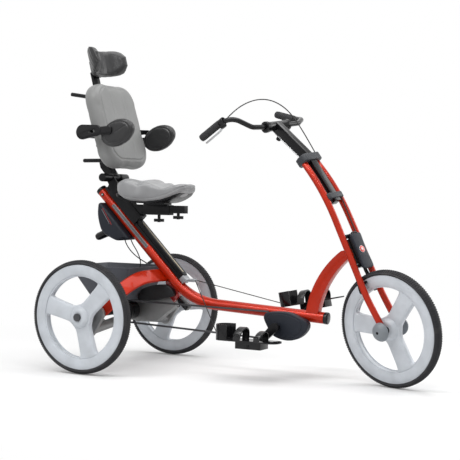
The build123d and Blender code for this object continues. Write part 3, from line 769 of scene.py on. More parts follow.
class Grower:
    """Builds Geometry Nodes trees that repeat a small piece along a path, and makes plain meshes of them."""

    @staticmethod
    def along(name: str, path: Sequence[Vector], spacing: float, seed_piece: bpy.types.Object,
              material: bpy.types.Material, closed: bool = False, turn: Sequence[float] = (0, 0, 0),
              side: Vector | None = None) -> bpy.types.Object:
        """Repeats a piece at equal steps along a path.

        Args:
            name: the piece's name.
            path: points in the frame, in metres.
            spacing: metres between two of them.
            seed_piece: what is repeated, about its own origin, with its first axis along the path; it is removed.
            material: the finish.
            closed: whether the path is a loop.
            turn: a turn of each, in degrees, in the path's own frame.
            side: what each one's second axis points along, where the path's own normal won't do.

        Returns:
            A plain mesh object.
        """
        curve = bpy.data.curves.new(name + "_path", "CURVE")
        curve.dimensions = "3D"
        spline = curve.splines.new("POLY")
        spline.points.add(len(path) - 1)
        for point, place in zip(spline.points, path):
            point.co = (*place, 1)
        spline.use_cyclic_u = closed
        host = placed(name + "_path", curve)
        tree = bpy.data.node_groups.new(name + "_tree", "GeometryNodeTree")
        tree.interface.new_socket("Geometry", in_out="INPUT", socket_type="NodeSocketGeometry")
        step = tree.interface.new_socket("Spacing", in_out="INPUT", socket_type="NodeSocketFloat").identifier
        tree.interface.new_socket("Geometry", in_out="OUTPUT", socket_type="NodeSocketGeometry")

        def make(kind: str, settings: dict | None = None, values: dict | None = None) -> bpy.types.Node:
            """Adds a node, sets it and feeds its sockets."""
            node = tree.nodes.new(kind)
            for key, value in (settings or {}).items():
                setattr(node, key, value)
            for key, value in (values or {}).items():
                if isinstance(value, bpy.types.NodeSocket):
                    tree.links.new(value, node.inputs[key])
                else:
                    node.inputs[key].default_value = value
            return node

        entry = make("NodeGroupInput")
        points = make("GeometryNodeCurveToPoints", {"mode": "LENGTH"},
                      {"Curve": entry.outputs["Geometry"], "Length": entry.outputs["Spacing"]})
        aligned = make("FunctionNodeAxesToRotation", {"primary_axis": "X", "secondary_axis": "Y" if side else "Z"},
                       {"Primary Axis": points.outputs["Tangent"],
                        "Secondary Axis": tuple(side) if side else points.outputs["Normal"]})
        spun = make("FunctionNodeRotateRotation", {"rotation_space": "LOCAL"},
                    {"Rotation": aligned.outputs[0], "Rotate By": tuple(math.radians(a) for a in turn)})
        thing = make("GeometryNodeObjectInfo", None, {"Object": seed_piece})
        copies = make("GeometryNodeInstanceOnPoints", None,
                      {"Points": points.outputs["Points"], "Instance": thing.outputs["Geometry"],
                       "Rotation": spun.outputs[0]})
        real = make("GeometryNodeRealizeInstances", None, {"Geometry": copies.outputs[0]})
        dressed = make("GeometryNodeSetMaterial", None, {"Geometry": real.outputs[0], "Material": material})
        leave = make("NodeGroupOutput")
        tree.links.new(dressed.outputs[0], leave.inputs[0])
        modifier = host.modifiers.new("grow", "NODES")
        modifier.node_group = tree
        modifier[step] = spacing
        bpy.context.view_layer.update()
        mesh = evaluated_mesh(host)
        mesh.name = name
        obj = placed(name, mesh)
        for spare in (host, seed_piece):
            bpy.data.objects.remove(spare)
        Mesher.shade(obj, 35)
        return obj


@dataclass
class Workshop:
    """What every sub-assembly shares: the places, the finishes and the way a piece is handed over."""

    yard: Yard
    palette: Palette

    def hand_over(self, piece: bpy.types.Object, finish: str, body: Body, *replaced: str) -> bpy.types.Object:
        """Gives a piece its finish and its body.

        Args:
            piece: the finished mesh or curve.
            finish: a name in the palette.
            body: what it moves with.
            replaced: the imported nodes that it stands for.

        Returns:
            The piece.
        """
        piece.data.materials.clear()
        piece.data.materials.append(self.palette.material(finish))
        self.palette.slot(finish)
        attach(piece, body.value)
        if replaced:
            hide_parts(*replaced)
        LOG.info("%s: %s, on %s", piece.name, finish, body.value)
        return piece

    def soften(self, node: str, finish: str, body: Body, width: float, smooth: float = 40.0) -> bpy.types.Object:
        """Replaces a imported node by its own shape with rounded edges."""
        return self.hand_over(Mesher.softened(node + "_dressed", node, width, smooth), finish, body, node)


# ---------------------------------------------------------------- wheels


def relaxed(outline: Sequence[Flat], spacing: float, rounds: int) -> list[Flat]:
    """A closed outline cut into even steps, its corners eased by averaging neighbours."""
    points = [Vector(p) for p in outline]
    even = []
    for a, b in zip(points, points[1:] + points[:1]):
        count = max(1, round((b - a).length / spacing))
        even += [a.lerp(b, k / count) for k in range(count)]
    for _ in range(rounds):
        even = [(even[i - 1] + even[i] * 2 + even[(i + 1) % len(even)]) / 4 for i in range(len(even))]
    return [(p.x, p.y) for p in even]


def mirrored(profile: Sequence[Flat]) -> list[Flat]:
    """A profile of (radius, along) and its mirror image, back to its start."""
    return list(profile) + [(radius, -along) for radius, along in reversed(profile)]


@dataclass
class WheelSet:
    """The three moulded wheels with their block-tread tyres.

    The tread rows have the columns (along, lift, wide, deep, skew).
    """

    shop: Workshop
    tyre_r: float = 250.0
    tyre_w: float = 47.0
    crown_down: float = 2.2
    rim_r: float = 229.0
    rim_w: float = 39.0
    band: float = 48.0
    spoke_t: float = 30.0
    hub_r: float = 46.0
    hub_w: float = 62.0
    track: float = 782.0
    axle_z: float = 250.0
    web_turn: float = 45.0
    seal: tuple = ((6.5, -3), (8, 0.6), (15, 0.8), (17.5, -0.6), (17.5, -8), (6.5, -8))
    bolt: tuple = ((0, -4), (3.2, -4), (3.4, -1), (5.6, -0.6), (6.4, -2), (6.4, -8), (0, -8))
    block_h: float = 3.4
    block_sunk: float = 0.6
    blocks: int = 150
    block_taper: float = 0.82
    crown_r: float = 26.0
    tread_rows: tuple = ((0, 0.0, 9, 7.0, 0), (9.4, -0.9, 7, 6.0, 18), (-9.4, -0.9, 7, 6.0, -18),
                         (17.2, -4.2, 6, 5.4, 30), (-17.2, -4.2, 6, 5.4, -30))

    def window(self, turn: float) -> list[Flat]:
        """One opening between two spokes, about the wheel's middle."""
        inner, hub = self.rim_r - self.band, self.hub_r + 10
        outer_edge, inner_edge = (math.degrees(math.asin((33 + 9 * r / self.rim_r) / r)) for r in (inner, hub))
        arc = [(inner, outer_edge + (120 - 2 * outer_edge) * k / 24) for k in range(25)]
        arc += [(hub, 120 - inner_edge + (2 * inner_edge - 120) * k / 6) for k in range(7)]
        points = [(r * math.cos(math.radians(a + turn)), r * math.sin(math.radians(a + turn))) for r, a in arc]
        return relaxed(points, 4.0, 26)

    def moulding(self, name: str, turn: float, place: Matrix) -> bpy.types.Object:
        """The wheel itself: band, spokes and hub."""
        half = self.rim_w / 2
        inner, outer = self.rim_r - self.band, self.rim_r
        flank = [(inner + 1, -9), (inner + 3, -half + 2.5), (inner + 7, -half), (outer - 3, -half - 0.2),
                 (outer, -half + 1.5), (outer, -half + 5), (outer - 9, -half + 8)]
        band = Mesher.lathe("band", mirrored(flank), place, 128, True, 50)
        flat = place @ turned("X", 90) @ turned("Z", turn - self.web_turn)
        windows = [self.window(self.web_turn + 120 * i) for i in range(3)]
        web = Mesher.plate("web", [circle(inner + 6, 120)] + windows, self.spoke_t, 9.0, flat, 60, 4)
        w = self.hub_w / 2
        hub = [(13, -w + 3), (17, -w), (30, -w), (36, -w + 2), (39, -w + 6), (self.hub_r - 2, -w + 9),
               (self.hub_r, -w + 14), (self.hub_r + 3, -self.spoke_t / 2 + 2)]
        nave = Mesher.lathe("nave", mirrored(hub), place, 72, True, 40)
        return Mesher.join(name, [band, web, nave], 40)

    def carcass(self, name: str, place: Matrix) -> bpy.types.Object:
        """The tyre under its blocks."""
        half, crown, rim = self.tyre_w / 2, self.tyre_r - self.crown_down, self.rim_r
        wall = [(rim - 8, half - 9), (rim + 1.5, half - 6), (rim + 3, half - 2.2), (rim + 7, half)]
        arc = [(crown - 17 * (1 - math.cos(math.radians(a))), half * math.sin(math.radians(a)) * 0.98)
               for a in (60, 45, 30, 15, 0)]
        right = wall + arc
        profile = right + [(r, -along) for r, along in reversed(right[:-1])]
        return Mesher.lathe(name, profile, place, 144, True, 50)

    def tread(self, name: str, place: Matrix, material: bpy.types.Material) -> list[bpy.types.Object]:
        """Rows of small blocks over the crown and shoulders."""
        rows = []
        for along, lift, wide, deep, skew in self.tread_rows:
            bm = bmesh.new()
            bmesh.ops.create_cube(bm, size=1)
            for v in bm.verts:
                taper = self.block_taper if v.co.z > 0 else 1.0
                height = v.co.z * self.block_h - self.block_sunk
                v.co = Vector((v.co.x * deep * taper, v.co.y * wide * taper, height)) * MM
            seed_piece = Mesher.new("block", bm, Matrix.Identity(4), 20)
            radius = self.tyre_r - self.crown_down + lift
            ring = [place @ Vector((a, along, b)) for a, b in circle(radius, 180)]
            tilt = math.degrees(math.asin(min(0.9, abs(along) / self.crown_r))) * (1 if along > 0 else -1)
            spacing = 2 * math.pi * radius / self.blocks * MM
            side = place.to_3x3() @ Vector((0, -1, 0))
            rows.append(Grower.along("%s_row_%d" % (name, len(rows)), ring, spacing, seed_piece, material, True,
                                     (tilt, 0, skew), side=side.normalized()))
        return rows

    def build(self) -> None:
        """Makes the three wheels."""
        tyre = self.shop.palette.material("tyre")
        plain, (t, s) = self.shop.yard.plain, self.shop.yard.front_hub
        for name, body, turn, place in (
                ("rear_right", Body.RIGHT, 45.0, plain @ moved(0, -self.track / 2, self.axle_z)),
                ("rear_left", Body.LEFT, 8.0, plain @ moved(0, self.track / 2, self.axle_z)),
                ("front", Body.FRONT, 31.0, self.shop.yard.fork @ moved(t, 0, s))):
            wheel = self.moulding(name + "_wheel_moulding", turn, place)
            self.shop.hand_over(wheel, "wheel", body, name + "_wheel")
            carcass = self.carcass(name + "_tyre_carcass", place)
            self.shop.hand_over(carcass, "tyre", body, name + "_tyre")
            blocks = Mesher.join(name + "_tread", self.tread(name, place, tyre), 30)
            self.shop.hand_over(blocks, "tyre", body)
            half = self.hub_w / 2
            for side in (-1, 1):
                label = "left" if side > 0 else "right"
                ring = [(radius, side * (half + out)) for radius, out in self.seal]
                seal = Mesher.lathe("%s_hub_seal_%s" % (name, label), ring, place, 48)
                self.shop.hand_over(seal, "satin_black", body)
                if name != "front":
                    head = [(radius, side * (half + out)) for radius, out in self.bolt]
                    bolt = Mesher.lathe("%s_hub_bolt_%s" % (name, label), head, place, 32)
                    self.shop.hand_over(bolt, "dark_steel", body)


# ---------------------------------------------------------------- frame


@dataclass
class MainFrame:
    """Main tube, neck riser, rear arms, rail and what hangs on them.

    The arms' stations have the columns (y, x, z, width, thick), the tub's levels (x, z, deep, wide, corner),
    and the bolts (name, x, y, z, radius, finish).
    """

    shop: Workshop
    tube_r: float = 25.0
    top: Flat = (-160.0, 800.0)
    corner: Flat = (332.0, 308.0)
    front: Flat = (985.0, 273.7)
    bend: float = 335.0
    stations: tuple = ((0, 186, 421, 69, 14), (70, 170, 421, 69, 14), (150, 141, 409, 69, 14),
                       (240, 112, 365, 66, 17), (300, 84, 303, 60, 20), (316, 42, 262, 54, 20))
    # Side-view outline of the black plate under the arms.
    cover: tuple = ((51, 300), (61, 332), (76, 354), (118, 370), (164, 379), (212, 379), (245, 357), (252, 330),
                    (160, 306))
    guard: tuple = ((714, 268), (722, 288), (790, 295), (850, 293), (900, 270), (932, 262), (934, 228), (907, 196),
                    (876, 177), (840, 170), (803, 174), (758, 190), (738, 228))
    pod_outline: tuple = ((-60, 664), (-158, 762), (-166, 690), (-140, 606), (-58, 572), (24, 580), (-60, 664))
    pod_rounds: tuple = (12.0, 160.0, 70.0, 60.0, 10.0)
    pod_face: float = -46.2
    tub_levels: tuple = ((-45, 305, 180, 240, 10), (-68, 453, 333, 327, 16), (-68, 454, 338, 332, 18),
                         (-68, 457, 338, 332, 18), (-68, 457, 330, 324, 14), (-68, 452, 327, 321, 13),
                         (-45, 309, 176, 236, 8))
    stripe_up: float = 58.8
    ridge_up: float = 58.55
    bolts: tuple = (("tube_bolt", -146, -25.5, 786, 7.5, "silver"), ("lug_bolt", 278, -31, 290, 8, "silver"),
                    ("beam_bolt", -12, -200, 214, 9, "dark_steel"))

    def side(self, *points: Flat) -> list[Vector]:
        """Side-view places on the middle plane."""
        return [Vector((x, 0, z)) for x, z in points]

    def tubes(self) -> None:
        """The main tube and the riser to the head."""
        plain = self.shop.yard.plain
        path = rounded_run(self.side(self.top, self.corner, self.front), self.bend, 2.5)
        tube = Mesher.sweep("main_tube_dressed", path, circle(self.tube_r, 40), plain, (0, 1, 0))
        self.shop.hand_over(tube, "paint", Body.FRAME, "main_tube")
        self.shop.soften("neck_riser", "paint", Body.FRAME, 6.0, 50)
        self.shop.soften("head_tube", "satin_black", Body.FRAME, 1.0)

    def arms(self) -> None:
        """The two broad rear arms."""
        rows = smooth_through(self.stations, 7)
        slope, out = Vector((1, 0, -1)).normalized(), Vector((1, 0, 1)).normalized()
        loops = []
        for y, x, z, width, thick in [(-r[0], *r[1:]) for r in rows[:0:-1]] + rows:
            outline = rounded_box(width, thick, thick * 0.45, 5)
            loops.append([Vector((x, y, z)) + slope * a + out * b for a, b in outline])
        arms = Mesher.skin("rear_arms_dressed", loops, self.shop.yard.plain, 60)
        self.shop.hand_over(arms, "paint", Body.FRAME, "rear_arms")

    def pod(self) -> None:
        """The battery pod behind the tube, with its faint bare lines, and the lamp under it."""
        plain = self.shop.yard.plain
        bow = rounded_run(self.side(*self.pod_outline), self.pod_rounds, 6)
        outline = [(p.x, p.z) for p in bow[1:-1]]
        shell = Mesher.plate("battery_pod_dressed", [outline], 92, 13, facing_side(plain, 0), 50, 5)
        self.shop.hand_over(shell, "slate", Body.FRAME, "battery_pod")
        for number, (start, end) in enumerate((((-136, 716), (-92, 650)), ((-131, 722), (-80, 646)))):
            run = [(x, self.pod_face, z) for x, z in (start, end)]
            line = Mesher.sweep("pod_line_%d" % number, run, rounded_box(1.6, 0.8, 0.3, 2), plain, (0, 1, 0))
            self.shop.hand_over(line, ("print_grey", "badge")[number], Body.FRAME)
        turn = plain @ moved(-160, 0, 596) @ turned("Y", -22) @ turned("Z", 90)
        can = [(0, -33), (19, -33), (19.6, -30), (19.6, -26), (18.6, -25), (18.6, 20), (15, 32), (0, 33)]
        lamp = Mesher.lathe("rear_lamp_dressed", can, turn, 48, False)
        self.shop.hand_over(lamp, "gloss_black", Body.FRAME, "rear_lamp")
        glass = [(0, 36.5), (9, 35.6), (14, 33), (15.6, 29), (0, 29)]
        self.shop.hand_over(Mesher.lathe("rear_lamp_glass", glass, turn, 40, False), "lens", Body.FRAME)

    def tub(self) -> None:
        """The open luggage tub, with folded corners and a lip."""
        loops = [[Vector((a + x, b, z)) for a, b in rounded_box(deep, wide, corner, 4)]
                 for x, z, deep, wide, corner in self.tub_levels]
        tub = Mesher.skin("luggage_tub_dressed", loops, self.shop.yard.plain, 24)
        self.shop.hand_over(tub, "slate_pale", Body.FRAME, "luggage_tub")

    def covers(self) -> None:
        """The black plate under the arms and the chain guard with its raised lens shape."""
        plain = self.shop.yard.plain
        lens = [(808 + (x - 808) * 0.8, 236 + (z - 236) * 0.84) for x, z in self.guard]
        for name, outline, rounds, spacing, y, thick, edge, finish, replaced in (
                # A black plate under the arms, filling the dark space there.
                ("drive_cover", self.cover, 8, 6.0, -15.2, 25.6, 4.0, "under_arm_black", ()),
                ("chain_guard_dressed", self.guard, 40, 4.0, -40.0, 39.0, 6.0, "slate", ("chain_guard",)),
                ("chain_guard_lens", lens, 60, 4.0, -59.5, 5.0, 2.2, "slate", ())):
            plate = Mesher.plate(name, [relaxed(outline, spacing, rounds)], thick, edge, facing_side(plain, y), 50, 4)
            self.shop.hand_over(plate, finish, Body.FRAME, *replaced)

    def trim(self) -> None:
        """The sand-coloured stripe on the rail, the size strip on the tube and the small bolts."""
        yard = self.shop.yard
        rail = yard.rail
        run = [(-420, 0, self.stripe_up), (-112, 0, self.stripe_up)]
        stripe = Mesher.sweep("rail_stripe", run, rounded_box(9.6, 0.9, 0.3, 2), rail)
        self.shop.hand_over(stripe, "sand", Body.FRAME)
        for label, y in (("right", -14), ("left", 14)):
            run = [(-600, y, self.ridge_up), (-100, y, self.ridge_up)]
            ridge = Mesher.sweep("rail_ridge_" + label, run, rounded_box(2.4, 1.4, 0.5, 2), rail)
            self.shop.hand_over(ridge, "satin_black", Body.FRAME)
        loops = []
        for along in range(0, 31):
            ring = []
            for lift, sweep in ((25.5, range(0, 8)), (24.6, range(7, -1, -1))):
                for k in sweep:
                    angle = math.radians(-4 + 40 * k / 7)
                    ring.append(Vector((-585 + along * 9.0, -lift * math.cos(angle), lift * math.sin(angle))))
            loops.append(ring)
        self.shop.hand_over(Mesher.skin("size_strip", loops, rail, 40), "scale_strip", Body.FRAME)
        for name, x, y, z, radius, finish in self.bolts:
            for part, reach, shade, lift in (("washer", radius, "satin_black", 0.0),
                                             ("head", radius * 0.58, finish, 2.0)):
                spin = yard.plain @ moved(x, y, z)
                profile = [(0, -lift - 1.6), (reach * 0.8, -lift - 1.6), (reach, -lift - 0.6), (reach, 3), (0, 3)]
                piece = Mesher.lathe("%s_%s" % (name, part), profile, spin, 32, False)
                self.shop.hand_over(piece, shade, Body.FRAME)

    def fittings(self) -> None:
        """Everything bolted to the frame, in its own shape with eased edges."""
        for node, finish, width in (("tube_caps", "gloss_black", 3.0), ("seat_rail", "satin_black", 1.0),
                                    ("rail_block", "steel", 1.5), ("axle_beam", "beam", 1.5),
                                    # The frame lug wears the dark red: the frame's paint darkened, a painted shade.
                                    ("drive_carrier", "beam", 2.5), ("frame_lug", "lens", 1.5),
                                    ("gear_hub", "satin_black", 1.2), ("bumper", "gloss_black", 5.0),
                                    ("bottom_bracket", "satin_black", 2.0), ("chain", "dark_steel", 0.0)):
            self.shop.soften(node, finish, Body.FRAME, width)
        for side, body in (("right", Body.RIGHT), ("left", Body.LEFT)):
            self.shop.soften("rear_%s_shaft" % side, "dark_steel", body, 1.0)

    def build(self) -> None:
        """Makes the frame."""
        self.tubes()
        self.arms()
        self.pod()
        self.tub()
        self.covers()
        self.trim()
        self.fittings()


# ---------------------------------------------------------------- fork and bars


@dataclass
class Steering:
    """Fork tubes, clamps, stem, handlebars, grips and brakes, all turned with the fork."""

    shop: Workshop
    tube_r: float = 14.0
    leg: tuple = ((-51, 40, 425), (-2, 46, 255), (0, 53, -215), (16, 53, -355))
    grip_ends: tuple = (("right", (-235, -240, 712), (-352, -251, 700)), ("left", (-235, 236, 692), (-330, 251, 760)))
    lever_back: float = 134.0
    rib_gap: float = 5.2
    legs_r: float = 850.0
    dome: tuple = ((6, 0), (40, 0), (39.6, 2), (38.5, 5), (35, 11), (29, 17), (20, 22), (10, 24.6), (6.4, 24.4),
                   (6, 20))
    socket: tuple = ((0, 18), (3.2, 18), (3.4, 23), (6.2, 23.6), (6.6, 21), (6.6, 14), (0, 14))
    barrel: tuple = ((12, -75), (21, -75), (25, -73), (25, -60), (22.4, -58), (22.4, -50), (21.4, -48))

    def fork(self) -> None:
        """The two bent fork tubes."""
        place = self.shop.yard.fork
        legs = []
        for sign in (-1, 1):
            corners = [(t, sign * y, s) for t, y, s in self.leg]
            path = rounded_run(corners, self.legs_r, 1.0)
            legs.append(Mesher.sweep("leg", path, circle(self.tube_r, 32), place, (0, 1, 0), dome=0.35))
        self.shop.hand_over(Mesher.join("fork_tubes_dressed", legs), "paint", Body.STEER, "fork_tubes")

    def hub_caps(self) -> None:
        """Grey domes over the fork ends, with a dark socket in each."""
        t, s = self.shop.yard.front_hub
        for sign, label in ((-1, "right"), (1, "left")):
            place = self.shop.yard.fork @ moved(t, sign * 67.3, s)
            dome, socket = ([(radius, sign * along) for radius, along in rows] for rows in (self.dome, self.socket))
            cap = Mesher.lathe("hub_cap_" + label, dome, place, 64, True, 50)
            self.shop.hand_over(cap, "hub_grey", Body.STEER)
            bolt = Mesher.lathe("hub_socket_" + label, socket, place, 32, False)
            self.shop.hand_over(bolt, "satin_black", Body.STEER)

    def clamps(self) -> None:
        """The two clamps round the tubes, each with its bolt."""
        place = self.shop.yard.fork
        pieces = []
        for t, s, deep, wide, high, corner in ((-5, 235, 46, 96, 26, 12), (-50, 430, 62, 114, 34, 18)):
            flat = place @ moved(t, 0, s) @ turned("Y", -13 if s > 300 else -8)
            pieces.append(Mesher.plate("clamp", [rounded_box(deep, wide, corner, 6)], high, 4, flat, 50, 4))
            lug = flat @ moved(-deep / 2 - 5, -18, -4) @ turned("X", 90)
            pieces.append(Mesher.plate("lug", [rounded_box(18, 15, 5, 4)], 14, 2.5, lug, 50, 3))
        self.shop.hand_over(Mesher.join("fork_clamps_dressed", pieces, 50), "dark_grey", Body.STEER, "fork_clamps")

    def cover(self) -> None:
        """The waisted cover over the head, with a plain round badge and the bracket on top."""
        place = self.shop.yard.fork
        half = ((35, -104), (33, -64), (29, -25), (31, 20), (35, 54))
        outline = list(half) + [(-y, s) for y, s in half[::-1]]
        front = Mesher.plate("head_cover_dressed", [relaxed(outline, 4, 12)], 12, 4, facing_front(place, 28), 50, 4)
        self.shop.hand_over(front, "slate", Body.STEER, "head_cover")
        for name, radius, lift, finish in (("badge_rim", 15.5, 34.2, "white"), ("badge_face", 14.2, 34.7, "badge"),
                                           ("badge_centre", 6.0, 35.1, "white")):
            middle = facing_front(place, lift) @ moved(0, -20, 0)
            disc = Mesher.plate(name, [circle(radius, 40)], 1.2, 0.5, middle, 40, 2)
            self.shop.hand_over(disc, finish, Body.STEER)
        bow = [(24, -24, 52), (27, -14, 60), (27, 14, 60), (24, 24, 52)]
        rod = Mesher.sweep("head_bracket", bow, circle(2.6, 12), place, (1, 0, 0), dome=0.8)
        self.shop.hand_over(rod, "gloss_black", Body.STEER)

    def crown(self) -> None:
        """The two crown plates between the tubes, on the steerer."""
        place = self.shop.yard.fork
        upright = place @ moved(0, 0, -82) @ turned("X", 90)
        pieces = [Mesher.lathe("steerer", [(0, 0), (12, 0), (12, 134), (0, 134)], upright, 32, False)]
        for s in (52, -82):
            for x, outline, thick, edge in ((0, rounded_box(27, 92, 5, 4), 14, 2.5),
                                            (10, rounded_box(24, 40, 4, 4), 13, 2)):
                pieces.append(Mesher.plate("crown_plate", [outline], thick, edge, place @ moved(x, 0, s), 50, 3))
        self.shop.hand_over(Mesher.join("crown_dressed", pieces, 50), "satin_black", Body.STEER, "crown")

    def levers(self) -> None:
        """Brake levers: a black clamp on the bar and a blade close under the grip."""
        place = self.shop.yard.fork
        for label, start, end in self.grip_ends:
            run = (Vector(end) - Vector(start)).normalized()
            across = Vector((0.75, 0, -0.66))
            across = (across - run * across.dot(run)).normalized()
            base = Matrix((across, run.cross(across), run)).transposed().to_4x4()
            base = place @ Matrix.Translation(Vector(end) - run * self.lever_back) @ base
            spin = base @ turned("X", 90)
            clamp = Mesher.lathe("clamp", [(11.3, -11), (15, -11), (16, -9), (16, 9), (15, 11), (11.3, 11)], spin, 40)
            block = base @ moved(17, 0, 4) @ turned("X", 90)
            body = Mesher.plate("body", [rounded_box(24, 30, 7, 5)], 14, 3, block, 50, 3)
            self.shop.hand_over(Mesher.join("lever_body_" + label, [clamp, body], 50), "gloss_black", Body.STEER,
                                *(("brake_levers",) if label == "right" else ()))
            blade = Mesher.sweep("lever_blade_" + label, rounded_run([(20, 0, 4), (31, 0, 30), (33, 0, 124)], 24, 8),
                                 rounded_box(12, 6, 2.9, 4), base, (1, 0, 0), dome=0.4)
            self.shop.hand_over(blade, "silver" if label == "right" else "gloss_black", Body.STEER)

    def stem_trim(self) -> None:
        """The barrel over the stem's head, its collars, and the bright rod behind the stem."""
        place = self.shop.yard.fork
        middle = place @ moved(-149, 0, 638)
        barrel = Mesher.lathe("stem_barrel", mirrored(self.barrel), middle, 56, True)
        self.shop.hand_over(barrel, "gloss_black", Body.STEER)
        run = [(-74, -14, 440), (-158, -14, 606)]
        rod = Mesher.sweep("stem_rod", run, circle(2.8, 14), place, (0, 1, 0), dome=0.8)
        self.shop.hand_over(rod, "silver", Body.STEER)

    def ribs(self) -> None:
        """The fine ribs round the grips."""
        place = self.shop.yard.fork
        for label, start, end in self.grip_ends:
            run = (Vector(end) - Vector(start)).normalized()
            path = [place @ (Vector(end) - run * along) for along in (112, 6)]
            ring = [(16.35, -1.1), (16.9, -0.5), (16.9, 0.5), (16.35, 1.1), (15, 1.1), (15, -1.1)]
            loops = [[Vector((along, radius * math.cos(math.pi * k / 16), radius * math.sin(math.pi * k / 16))) * MM
                      for radius, along in ring] for k in range(32)]
            seed = Mesher.skin("rib", loops, Matrix.Identity(4), 50, True)
            rubber = self.shop.palette.material("grip")
            ribs = Grower.along("grip_ribs_" + label, path, self.rib_gap * MM, seed, rubber)
            self.shop.hand_over(ribs, "grip", Body.STEER)

    def fittings(self) -> None:
        """The rest of the fork in its own shape with eased edges."""
        for node, finish, width in (("stem", "gloss_black", 3.0), ("handlebars", "gloss_black", 0.0),
                                    ("grips", "grip", 2.0), ("front_axle", "steel", 0.5),
                                    ("front_brake", "satin_black", 1.0),
                                    ("stem_knobs", "satin_black", 2.0)):
            self.shop.soften(node, finish, Body.STEER, width)

    def build(self) -> None:
        """Makes the steering."""
        self.fork()
        self.hub_caps()
        self.clamps()
        self.cover()
        self.crown()
        self.levers()
        self.stem_trim()
        self.ribs()
        self.fittings()


# ---------------------------------------------------------------- drive


@dataclass
class Drive:
    """Cranks and foot plates, with columns (along, wide, high, lean) and (side, y, x, z, tilt)."""

    shop: Workshop
    arches: tuple = ((-52, 34, 56, 10), (42, 28, 44, 12))
    plate_half: float = 44.5
    plate_top: float = 19.0
    ends: tuple = (("right", -160, 717.2, 152.2, 0.0), ("left", 160, 872.8, 307.8, -12.0))

    def straps(self, side: str, body: Body) -> None:
        """Two padded strap arches over the foot plate, each with its buckle."""
        _, y, x, z, tilt = next(row for row in self.ends if row[0] == side)
        base = self.shop.yard.plain @ moved(x, y, z) @ turned("Y", tilt)
        bands, buckles = [], []
        for along, wide, high, lean in self.arches:
            bow = [(math.cos(math.radians(a)), math.sin(math.radians(a))) for a in range(0, 181, 6)]
            path = [Vector((along + lean * up, self.plate_half * out, self.plate_top + high * up ** 0.8))
                    for out, up in bow]
            bands.append(Mesher.sweep("band", path, rounded_box(7.0, wide, 3.0, 4), base, (1, 0, 0)))
            buckle = base @ moved(along, -45 if y < 0 else 45, self.plate_top + high * 0.45) @ turned("X", 90)
            outlines = [rounded_box(wide * 0.8, 16, 4, 3), rounded_box(wide * 0.5, 6, 2, 2)]
            buckles.append(Mesher.plate("buckle", outlines, 4, 1.2, buckle, 50, 2))
        straps = Mesher.join("foot_straps_%s_dressed" % side, bands, 50)
        self.shop.hand_over(straps, "strap", body, "foot_straps_" + side)
        self.shop.hand_over(Mesher.join("foot_buckles_" + side, buckles, 50), "gloss_black", body)

    def build(self) -> None:
        """Makes the cranks and the foot plates."""
        self.shop.soften("crankset", "satin_black", Body.CRANK, 2.0)
        for side, body in (("right", Body.PEDAL_RIGHT), ("left", Body.PEDAL_LEFT)):
            self.shop.soften("pedal_" + side, "gloss_black", body, 1.5)
            self.straps(side, body)


# ---------------------------------------------------------------- seat and back


